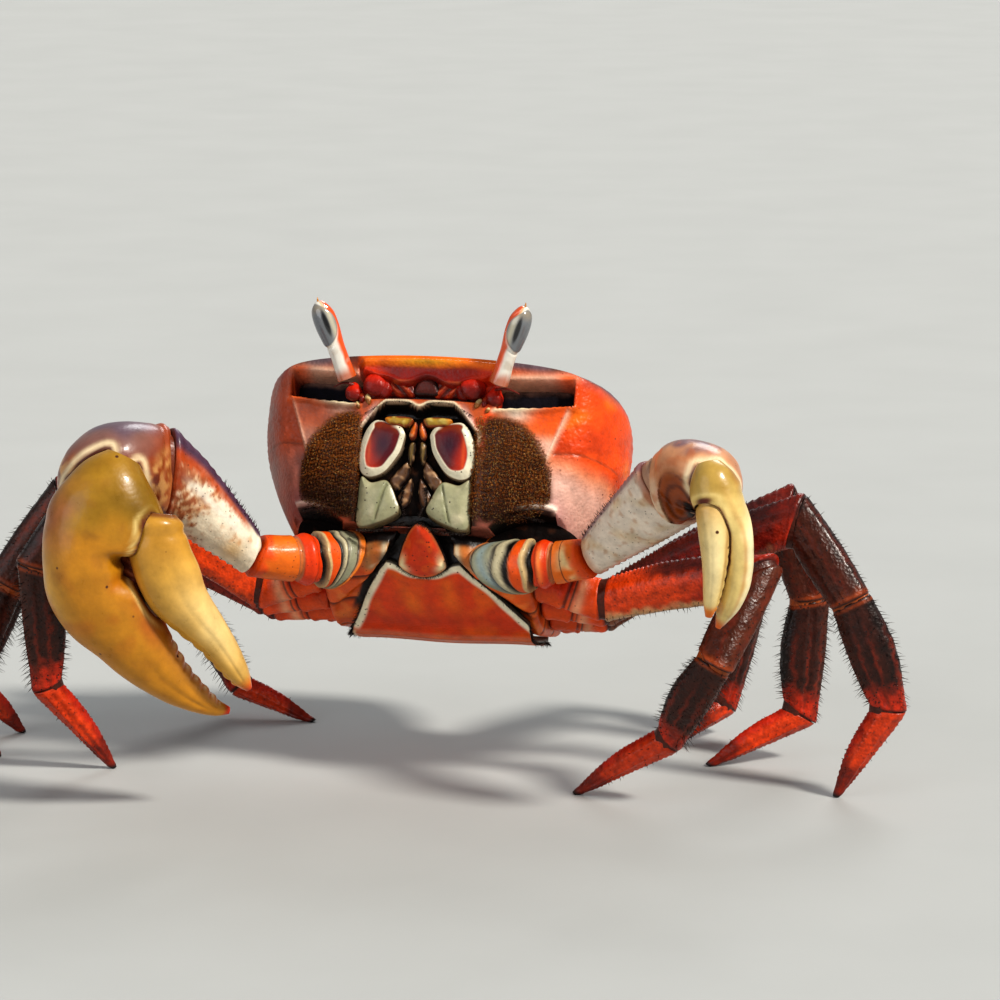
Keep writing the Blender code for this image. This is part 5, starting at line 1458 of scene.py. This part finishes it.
def makeFeelers():
    red, shadeRed, cream = "#c42406", "#6a0c02", "#d8c088"
    for side, across, shift in (("left", 1, -1.7), ("right", -1, -0.7)):
        shapes = []

        def add(x, u, out, radii, colour, point=0.0, furrow=0.0, way=(0, 0.35, 1), low=shadeRed):
            middle = (x * across + shift, faceForward(x, u) + out, u)
            points, faces = pebble(middle, radii, point, furrow, way=(way[0] * across, way[1], way[2]))
            points = points + 0.12 * softNoise(points, 1.3, 71)[:, None] * unit(points - points.mean(0))
            # each knob is painted lighter over its top and darker below: painted light and shade
            high = ramp(points[:, 2] - u + 0.3 * softNoise(points, 1.2, 72), -0.6 * radii[2],
                0.7 * radii[2])
            shapes.append((points, faces, paintOver(basePaint(low, len(points)), colour, high)))

        add(13.7, 5.0, -0.8, (3.5, 2.4, 3.0), red, 0.34, 0.05, (-0.06, 0.15, 1))     # folded antennule's base
        add(11.2, 4.4, -1.3, (2.0, 1.6, 2.6), "#a01c06", 0.1, 0.05, (-0.2, 0.1, 1))
        add(19.8, 2.8, -0.2, (2.4, 1.9, 2.1), red, 0.55, 0.05, (0.12, 0.1, 1))       # antenna's base
        add(17.4, 1.8, -0.4, (1.6, 1.1, 0.9), "#a83a14", 0, 0, (1, 0.1, -0.1))
        add(15.6, 1.2, -0.1, (1.7, 0.8, 0.8), cream, 0, 0, (1, 0.1, -0.3), "#7a4a1c")
        add(18.4, -0.2, 0.0, (1.2, 0.7, 0.6), cream, 0, 0, (1, 0.1, -0.5), "#7a4a1c")
        # the folded part beside it: a brown scale with slanting folds under a scalloped edge
        scale, scaleFaces, inside, flat = domedPlate(
            [(3.2, 3.0), (3.6, 5.2), (5.4, 7.6), (8.4, 8.2), (10.6, 7.2), (10.8, 3.6), (7.0, 2.8)],
            lambda x, y, h: (x * across + shift, faceForward(x, y) - 2.0 + h, y), 0.8, 1.6, 1.2, 26, 150)
        fold = np.sin((flat[:, 0] * 0.75 - flat[:, 1] * 0.8) * 2.6)
        scale[:, 1] += 0.22 * fold * ramp(inside, 0.2, 0.9)
        # the fold troughs painted dark and the crests lighter: painted shade and highlight
        tone = paintOver(basePaint("#8a2408", len(scale)), "#380a04", ramp(fold, 0, -0.7) * 0.8)
        tone = coats(tone,
            ("#b8501c", ramp(fold, 0.6, 1) * 0.6),
            ("#d8a878", bell(inside, 0.25, 0.2) * ramp(flat[:, 1], 5.6, 7) * 0.9))
        shapes.append((scale, scaleFaces, tone))
        points, faces, paint = joinShapes(shapes)
        # the lash of the antenna, thin and ringed
        start = toBody(np.array([tuple(p) for p in nodeSurface("antenna_" + side)[1]]))
        far = start[np.abs(start[:, 0]).argmax()]
        root = np.array([19.8 * across + shift, faceForward(19.8, 4.4) + 0.3, 4.9])
        t = np.linspace(0, 1, 40)[:, None]
        line = root + (far - root) * t + np.array([0, 0.8, 0.5]) * np.sin(t * pi)
        size = (0.42 - 0.26 * t) * (1 + 0.12 * np.cos(t * 90))
        turn = np.arange(14)[None, :, None] * 2 * pi / 14
        tube = (line[:, None] + size[:, None] * (np.cos(turn) * np.array([0, 0, 1.0])
            + np.sin(turn) * np.array([0, 1.0, 0])))
        lash, lashFaces = closeTube(tube)
        points, faces, paint = joinShapes([(points, faces, paint),
            (lash, lashFaces, basePaint("#6a1a10", len(lash)))])
        coverNode("antenna_" + side, toWorld(points), faces, granularShell, paint)
    # the dark knob between the feelers
    points, faces, inside, flat = domedPlate([(-3.1, 3.2), (-2.8, 5.8), (-1.3, 7.2), (1.3, 7.2), (2.8, 5.8),
        (3.1, 3.2), (0, 2.9)], facePlace(-1.4, -0.5), 0.7, 1.8, 2.0, 14, 90)
    paint = paintOver(basePaint("#4c1408", len(points)), "#1a0604", ramp(inside, 0.7, 0.2))
    makePiece("rostrum_knob", toWorld(points), faces, granularShell, paint)


# Belly: tail plates and breast plates
belly = {
    # middle line of the folded tail from its tip round to the rear: f, u, half width
    "line": ((8.6, -37.2, 10.2), (0, -41.6, 17.5), (-8, -45.4, 23), (-13, -47.6, 26.5), (-18, -47.2, 27.6),
             (-28, -43.0, 27), (-37, -39.0, 22), (-44, -36.0, 15)),
    "lean": 0.20, "seams": (0.50, 0.62, 0.735, 0.84, 0.93), "thick": 2.0, "bulge": 0.7,
}


def tailDrift(f):
    front = belly["lean"] * np.clip(6.2 - f, 0, None)
    return np.where(f > -14, front, belly["lean"] * 20.2 * (f + 60) / 46)


def makeTail():
    rows, sides = 200, 130
    s = np.linspace(0, 1, rows)
    line = curveThrough(belly["line"], s)
    run = unit(np.gradient(line[:, :2], axis=0))
    outwardF, outwardU = run[:, 1], -run[:, 0]
    if outwardU.mean() > 0:
        outwardF, outwardU = -outwardF, -outwardU
    q = np.linspace(-1, 1, sides)
    half = line[:, 2:3]
    # the front edge is hollowed to take the telson
    hollow = 3.2 * np.exp(-(q[None] * half / 7.0) ** 4) * ramp(s, 0.16, 0)[:, None]
    edge = (1 - np.abs(q[None])) * half
    fromFront = np.linalg.norm(np.diff(line[:, :2], axis=0, prepend=line[:1, :2]), axis=1).cumsum()[:, None]
    inside = np.minimum(edge, fromFront + 0 * edge)
    lift = belly["bulge"] * (1 - (1 - np.clip(inside / 4, 0, 1)) ** 2) - 0.5
    for seam in belly["seams"]:
        lift = lift - 0.55 * bell(s[:, None], seam, 0.006) + 0.3 * bell(s[:, None], seam - 0.012, 0.008)
    # fine ribs where the plate turns under
    lift = lift + 0.14 * np.sin(s[:, None] * 420) * bell(s[:, None], 0.38, 0.05) * ramp(inside, 1, 3)
    swell = 0.25 * np.cos(q[None] * half / 6.0) * ramp(s, 0.05, 0.2)[:, None] * ramp(inside, 1, 5)
    x = q[None] * half + tailDrift(line[:, 0])[:, None]
    x = np.clip(x, -26.9, 26.9)
    lift = lift + swell
    outer = columns(x, line[:, :1] + outwardF[:, None] * lift - hollow * 0.75,
        line[:, 1:2] + outwardU[:, None] * lift - hollow * 0.55)
    inner = columns(x, line[:, :1] - outwardF[:, None] * belly["thick"] - hollow * 0.75,
                      line[:, 1:2] - outwardU[:, None] * belly["thick"] - hollow * 0.55)
    points = np.vstack([outer.reshape(-1, 3), inner.reshape(-1, 3)])
    faces = gridFaces(rows, sides) + gridFaces(rows, sides, start=rows * sides)
    grid = np.arange(rows * sides).reshape(rows, sides)
    rim = np.concatenate([grid[0], grid[1:, -1], grid[-1, -2::-1], grid[-2:0:-1, 0]])
    faces += columns(rim, np.roll(rim, -1), np.roll(rim, -1) + rows * sides,
        rim + rows * sides).tolist()
    cloud = softNoise(points, 6, 41)
    inside = np.tile(np.minimum(inside, 99).ravel(), 2)
    place = np.tile(np.tile(s[:, None], (1, sides)).ravel(), 2)
    paint = coats(basePaint("#d44004", len(points)),
        ("#e2620c", ramp(cloud, -0.1, 0.4) * 0.65))
    flatX = points[:, 0] - np.tile(np.repeat(tailDrift(line[:, 0]), sides), 2)
    paint = coats(paint,
        ("#ee8416", (bell(flatX, -6.5, 2.6) + bell(flatX, 5, 2.6)) * bell(place, 0.17, 0.1) * 0.32),
        ("#b02c04", bell(place, 0.3, 0.06) * 0.6),
        ("#c8704c", ramp(place, 0.40, 0.46) * 0.7),
        ("#ece2c4", ramp(inside + 0.6 * cloud, 2.6, 1.3) * ramp(place, 0.46, 0.38)),
        ("#dcc4a0", ramp(inside, 1.4, 0.8) * ramp(place, 0.42, 0.5) * 0.8))
    for seam in belly["seams"]:
        paint = paintOver(paint, "#4a1a10", bell(place, seam, 0.004) * 0.8)
    paint = paintOver(paint, "#1a0e0a", ramp(inside, 0.35, 0) * 0.9)
    spots = ramp(inside, 3.4, 2) * 0.95 + 0.15
    coverNode("pleon", toWorld(points), faces, porousPlate, paint, spots)
    # dark fringe along both slanting edges
    random = np.random.default_rng(5)
    hairs = 420
    for side in (0, sides - 1):
        pick = random.uniform(0.02, 0.97, hairs)
        row = (pick * (rows - 1)).astype(int)
        root = outer[row, side]
        outside = -1 if side == 0 else 1
        way = columns(outside * (0.8 + random.normal(0, 0.35, hairs)),
            outwardF[row] * 0.5 + random.normal(0, 0.4, hairs),
            outwardU[row] * 0.7 + random.normal(0, 0.3, hairs))
        keepBristles("belly", toWorld(root), worldWays(way), random.uniform(0.7, 1.9, hairs), 0.075,
                     columns(0.02 + 0.4 * pick + (0.5 if side else 0),
                             0.1 + random.uniform(0, 0.02, hairs)))


def makeTelson():
    outline = [(-5.9, 7.3), (-6.6, 8.7), (-5.2, 12.2), (-3.2, 15.4), (-1.4, 17.1), (0, 17.5), (1.4, 17.1),
        (3.2, 15.4), (5.2, 12.2), (6.6, 8.7), (5.9, 7.3), (3.2, 6.0), (0, 5.5), (-3.2, 6.0)]
    place = lambda x, y, h: (x, y + 0.66 * h, -38.4 + (y - 6.9) * 0.88 - 0.75 * h)
    points, faces, inside, flat = domedPlate(outline, place, 1.6, 3.8, 1.4, 24, 170)
    cloud = softNoise(points, 2.2, 43)
    corner = bell(np.hypot(np.abs(flat[:, 0]) - 5.6, flat[:, 1] - 8.4), 0, 2.0)
    paint = coats(basePaint("#c83808", len(points)),
        ("#d85c10", ramp(cloud, 0, 0.5) * 0.5),
        ("#ecdcac", corner * ramp(inside, 3, 1)),
        ("#c87840", ramp(inside, 0.8, 0.3) * 0.5),
        ("#1c0f0a", ramp(inside, 0.25, 0)))
    coverNode("telson", toWorld(points), faces, porousPlate, paint,
        0.9 + 0.1 * ramp(flat[:, 1], 9, 12))
    random = np.random.default_rng(6)
    hairs = 300
    rim = closedCurve(outline, hairs)
    middle = rim.mean(0)
    away = unit(rim - middle)
    root = np.stack(place(rim[:, 0], rim[:, 1], np.full(hairs, -0.2)), -1)
    way = (columns(away[:, 0], away[:, 1] * 0.5 + 0.2, -0.5 + away[:, 1] * 0.3)
        + random.normal(0, 0.25, (hairs, 3)))
    keepBristles("belly", toWorld(root), worldWays(way), random.uniform(0.5, 1.2, hairs), 0.07,
                 columns(0.02 + 0.9 * np.arange(hairs) / hairs, np.full(hairs, 0.2)))


def makeThorax():
    # breast plates: the CAD block made fine, its seams sunk and its corners softened
    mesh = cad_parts["thorax"].data.copy()
    block = bpy.data.objects.new("block", mesh)
    bpy.context.collection.objects.link(block)
    remesh = block.modifiers.new("fine", "REMESH")
    remesh.mode = "VOXEL"
    remesh.voxel_size = 0.55 * mm
    graph = bpy.context.evaluated_depsgraph_get()
    fine = bpy.data.meshes.new_from_object(block.evaluated_get(graph))
    bpy.data.objects.remove(block)
    points = np.zeros(len(fine.vertices) * 3)
    fine.vertices.foreach_get("co", points)
    points = toBody(points.reshape(-1, 3) / mm)
    faces = [list(p.vertices) for p in fine.polygons]
    ends = np.zeros(len(fine.edges) * 2, int)
    fine.edges.foreach_get("vertices", ends)
    ends = ends.reshape(-1, 2)
    both = np.concatenate([ends, ends[:, ::-1]])
    relax(points, both[:, 0], both[:, 1], 0.6, 7)
    x, f, u = points.T
    line = np.array(belly["line"])
    half = np.interp(f, line[::-1, 0], line[::-1, 2])
    tip = np.interp(f, [8.6, 10, 13, 16, 18.5], [10.2, 7.6, 6.6, 5.6, 1.5])
    fromTail = np.where(f > 8.6, np.abs(x) - tip, np.maximum(x - np.minimum(tailDrift(f) + half, 26.9),
                                                             np.maximum(tailDrift(f) - half, -26.9) - x))
    below = ramp(u, -30.5, -32.5)
    seam = np.zeros(len(x))
    for place in (4.2, -6.2, -17.0, -28.0, -38.5):
        slanted = f - place + 0.12 * (np.abs(x) - 20)
        seam = np.maximum(seam, bell(slanted, 0, 0.55))
    seam = seam * ramp(fromTail, 0.5, 2) * below
    points[:, 2] += 0.6 * seam
    # a bed for the tail's last plate
    points[:, 2] += 3.2 * ramp(fromTail, 0.9, -0.3) * ramp(f, 5.5, 8.5)
    cloud = softNoise(points, 3.2, 51)
    paint = coats(basePaint("#dc5a10", len(points)),
        ("#ec8234", ramp(cloud, 0, 0.5) * 0.6),
        ("#a8804e", ramp(f + 0.4 * cloud, 6.5, 8.5) * ramp(np.abs(x), 19, 14) * 0.9),
        ("#e0d4b4", bell(fromTail + 0.3 * cloud, 3.4, 0.7) * ramp(f, 7, 9) * 0.7),
        ("#c86a24", bell(np.abs(x) + cloud, 12.5, 1.4) * ramp(f, 6, 8) * 0.7),
        # the thorax beside the tail's edge painted near black: painted shade under the tail's rim
        ("#1a0f0b", ramp(fromTail + 0.5 * cloud, 2.2, 1.3) * ramp(f, -11, -7)),
        ("#2a120c", seam * 0.9),
        # painted near black: the bed for the tail's tip and the hollows beside it as painted shade, and the
        # hairy band under the mouth
        ("#120907", ramp(u, -34, -32.5) * ramp(f, 8, 11)),
        ("#120907", bell(np.abs(x), 9.6, 2.0) * bell(f, 10.4, 1.6)))
    coverNode("thorax", toWorld(points), faces, porousPlate, paint, 0.5)


def makeShadeSheets():
    # painted shade: dull dark sheets in front of the floors of the mouth, the claws' sockets and the orbits
    shapes = []
    orbit = [(19.2, 0.6), (25, 1.0), (32, 1.9), (38.2, 2.9), (38.4, 6.4), (36.5, 8.6), (30, 8.0), (24, 7.2),
        (19.4, 6.4)]
    for outline, offset, shift in (([(-15.8, -3.4), (-12, -1.6), (0, -2.2), (12, -1.6), (15.8, -3.4),
            (16.0, -16), (15.8, -29), (10, -30.4), (6, -27.6), (0, -26.6), (-6, -27.6), (-10, -30.4),
            (-15.8, -29), (-16.0, -16)], -3.9, mouth["middle"]),
            ([(17.5, -31.5), (20, -29.2), (27, -25.8), (34, -24.6), (40, -26.6), (43, -30.5), (40, -34),
            (28, -35), (19, -34)], -6.0, 0.0), ([(-17.5, -31.5), (-20, -30.2), (-27, -27.4), (-34, -26.4),
            (-35.6, -30), (-33, -34), (-26, -35), (-19, -34)], -6.0, 0.0), (orbit, -5.4, 0.0),
            ([(-x, u) for x, u in orbit], -5.4, 0.0)):
        place = lambda x, y, h: (x + shift, faceForward(x, y) + offset + h, y)
        points, faces, inside, flat = domedPlate(outline, place, 0.5, 3, 1.0, 14, 140)
        points[:, 1] += 0.35 * softNoise(points, 1.6, 61) * (inside > 0.4)
        tone = paintOver(basePaint("#100806", len(points)), "#3a2012",
            ramp(softNoise(points, 2.2, 62), 0.1, 0.6) * 0.7)
        upper = np.where(points[:, 2] > 0, 1.0, 0.0)
        tone = coats(tone,
            ("#14121a", upper),
            ("#7a5c50", upper * ramp(points[:, 2] - 0.13 * (np.abs(points[:, 0]) - 28.8)
                + 0.6 * softNoise(points, 3, 63), 6.0, 8.0) * 0.8))
        shapes.append((points, faces, tone))
    points, faces, paint = joinShapes(shapes)
    makePiece("mouth_lining", toWorld(points), faces, shadeSheet, paint)


makeMouth()
makeShadeSheets()
for sideName, sideSign in bothSides:
    makeEye(sideName, sideSign)
makeFeelers()
makeTail()
makeTelson()
makeThorax()
print("head and belly made")


# Felt beside the mouth
# the last tip colour is a painted glint
felt = {"hairs": 10500, "length": (0.45, 1.15), "thick": 0.105, "clump": 1.0,
        "root": "#4e2204", "tips": ("#8c3e06", "#c87412", "#ffdc88")}


def makeFelt(side, across):
    random = np.random.default_rng(70 + across)
    low, high = feltOutline.min(0), feltOutline.max(0)
    flat = random.uniform(low, high, (felt["hairs"] * 2, 2))
    inside = edgeDistance(flat, feltOutline) + random.normal(0, 0.35, len(flat))
    flat, inside = flat[inside > -0.3][:felt["hairs"]], inside[inside > -0.3][:felt["hairs"]]
    count = len(flat)
    # the patch begins right beside the mouth's plates, which lie a little to the crab's right
    x = flat[:, 0] * across - (2.5 if across > 0 else 1.5) * ramp(flat[:, 0], 26, 17)
    u = flat[:, 1]
    root = columns(x, faceForward(x, u) + np.maximum(faceRelief(x, u), -0.2) - 0.1, u)
    length = random.uniform(*felt["length"], count) * (0.55 + 0.45 * ramp(inside, 0, 2))
    # hairs lean down and outwards, and gather in clumps
    cell = np.floor(flat / felt["clump"] + 0.35 * np.sin(flat[:, ::-1] * 1.7))
    jitter = columns(np.sin(cell[:, 0] * 12.99 + cell[:, 1] * 78.2),
        np.cos(cell[:, 0] * 39.3 + cell[:, 1] * 11.1))
    centre = (cell + 0.5 + 0.25 * jitter) * felt["clump"]
    pull = (centre - flat) * 0.55
    way = columns(pull[:, 0] * across + 0.12 * across + random.normal(0, 0.14, count), np.full(count, 0.8),
                    pull[:, 1] - 0.38 + random.normal(0, 0.14, count))
    spread = (flat - low) / (high - low)
    tone = random.uniform(0, 1, count) + 0.25 * jitter[:, 0] + 0.25 * ramp(u, -22, -8)
    tips = coats(basePaint(felt["tips"][0], count),
        (felt["tips"][1], ramp(tone, 0.1, 0.7)))
    lowerShade = ramp(u + 3 * across, -17, -27) * 0.75        # the lower hairs are darker: painted shade
    tips = paintOver(tips, "#341604", lowerShade)
    roots = paintOver(basePaint(felt["root"], count), "#1c0c04", lowerShade)
    # a few tips painted pale gold: painted glints, fewer low down where the hairs are painted in shade
    tips = paintOver(tips, felt["tips"][2], ramp(random.uniform(0, 1, count) + 0.03 * across, 0.9, 0.95)
        * (1 - 0.6 * lowerShade))
    makeBristles("felt_" + side, [(toWorld(root), worldWays(way), length, np.full(count, felt["thick"]),
        0.01 + spread * 0.97)], chitinBristle, (roots, tips), droop=0.15)


def addFringe(line, count, length, way, seed, row, thick):
    # dark hairs along a line on the face
    random = np.random.default_rng(seed)
    t = random.uniform(0, 1, count)
    place = curveThrough(line, t)
    root = columns(place[:, 0], faceForward(place[:, 0], place[:, 1]) + place[:, 2], place[:, 1])
    ways = np.array(way, float) + random.normal(0, 0.3, (count, 3))
    keepBristles("belly", toWorld(root), worldWays(ways), length * random.uniform(0.5, 1.2, count), thick,
                 columns(0.02 + 0.9 * t, np.full(count, row)))


# Each fringe: the line it runs along (across, height, how far out) and the middle line that is measured
# from; its hairs, their length and lie; its row on the map and the hairs' thickness.
fringes = ((((2, -29.5, -1), (8, -31.5, -0.6), (15, -31.6, -0.4)), mouth["middle"], 260, 1.5,
    (0, 0.6, -0.8), 0.3, 0.07), (((3.2, -20, -2.2), (3.8, -24, -2), (2.4, -28, -1.6)), mouth["middle"], 200,
    1.6, (-0.5, 0.6, -0.3), 0.45, 0.07), (((2, 0.1, 0.4), (8, 0.6, 0.4), (15, -2.4, 0.4)), mouth["middle"],
    150, 0.9, (0, 0.5, -0.9), 0.6, 0.05), (((17, -26.4, -0.6), (26, -25.6, -0.2), (33, -26.0, -0.4)), 0,
    180, 1.4, (0.2, 0.5, -0.8), 0.75, 0.07), )
for sideName, sideSign in bothSides:
    makeFelt(sideName, sideSign)
    for index, (run, start, hairs, hairLength, lie, row, width) in enumerate(fringes):
        addFringe([(start + sideSign * x, u, out) for x, u, out in run], hairs, hairLength,
            (lie[0] * sideSign, lie[1], lie[2]), 80 + 4 * index + sideSign, row + 0.05 * sideSign, width)
print("felt made")

# Bristles
for pieceName, group, slotName, rootAndTip in (
        ("leg_bristles_left", "legs_left", "shin", ("#160c09", "#3a2016")),
        ("leg_bristles_right", "legs_right", "shin", ("#160c09", "#3a2016")),
        ("claw_bristles", "claws", "arm", ("#120a08", "#2c1a12")),
        ("belly_bristles", "belly", "belly", ("#0e0806", "#2a1710"))):
    makeBristles(pieceName, bristleRows[group], chitinBristle, rootAndTip)
print("bristles made")

# Floor, light and camera
studio = {"floor": "#afb2b1", "sky": "#edeeef", "skyStrength": 0.4}


def makeStudio():
    floor = bpy.data.meshes.new("studio_floor")
    floor.from_pydata([(-30, -6, 0), (30, -6, 0), (30, 60, 0), (-30, 60, 0)], [], [(0, 1, 2, 3)])
    # Fine raked plaster, painted: pale and quite dull.
    plaster = bpy.data.materials.new("plasterPainted")
    plaster.use_nodes = True
    tree = plaster.node_tree
    surface = tree.nodes["Principled BSDF"]
    surface.inputs["Roughness"].default_value = 0.85
    surface.inputs["IOR"].default_value = 1.5
    place = addNode(tree, "ShaderNodeTexCoord").outputs["Object"]
    cloud = addNode(tree, "ShaderNodeTexNoise", {"Vector": place, "Scale": perMetre(60),
        "Detail": 4.0}).outputs["Fac"]
    tone = addNode(tree, "ShaderNodeMix", {"Factor": cloud, 6: (*linearColour(studio["floor"]), 1),
                   7: (*(linearColour(studio["floor"]) * 0.9), 1)}, data_type="RGBA").outputs[2]
    tree.links.new(tone, surface.inputs["Base Color"])
    floor.materials.append(plaster)
    ground = bpy.data.objects.new("studio_floor", floor)
    bpy.context.collection.objects.link(ground)
    world = bpy.data.worlds.new("studio")
    world.use_nodes = True
    world.node_tree.nodes["Background"].inputs["Color"].default_value = (*linearColour(studio["sky"]), 1)
    world.node_tree.nodes["Background"].inputs["Strength"].default_value = studio["skyStrength"]
    bpy.context.scene.world = world
    # a broad soft key from the upper right, a weaker fill from the left and a light from behind
    for name, way, spread, strength, tint in (("key", (-0.66, 0.52, -0.78), 9, 3.5, "#fff8ee"),
            ("fill", (0.8, 0.75, -0.35), 45, 0.7, "#f2f4fa"),
            ("back", (-0.25, -0.9, -0.7), 25, 0.8, "#ffffff")):
        lamp = bpy.data.lights.new(name, "SUN")
        lamp.angle = math.radians(spread)
        lamp.energy = strength
        lamp.color = linearColour(tint)
        light = bpy.data.objects.new(name, lamp)
        light.rotation_euler = Vector(way).to_track_quat("-Z", "Y").to_euler()
        bpy.context.collection.objects.link(light)
    camera = bpy.data.cameras.new("camera")
    camera.lens = 159.4
    camera.sensor_width = 36
    camera.clip_end = 50
    viewer = bpy.data.objects.new("camera", camera)
    viewer.location = (0.022867, -1.167596, 0.303468)
    viewer.rotation_euler = (math.radians(79), 0, 0)
    bpy.context.collection.objects.link(viewer)
    bpy.context.scene.camera = viewer
    bpy.context.scene.view_settings.view_transform = "Standard"
    bpy.context.scene.view_settings.look = "Medium High Contrast"


makeStudio()
print("studio made")
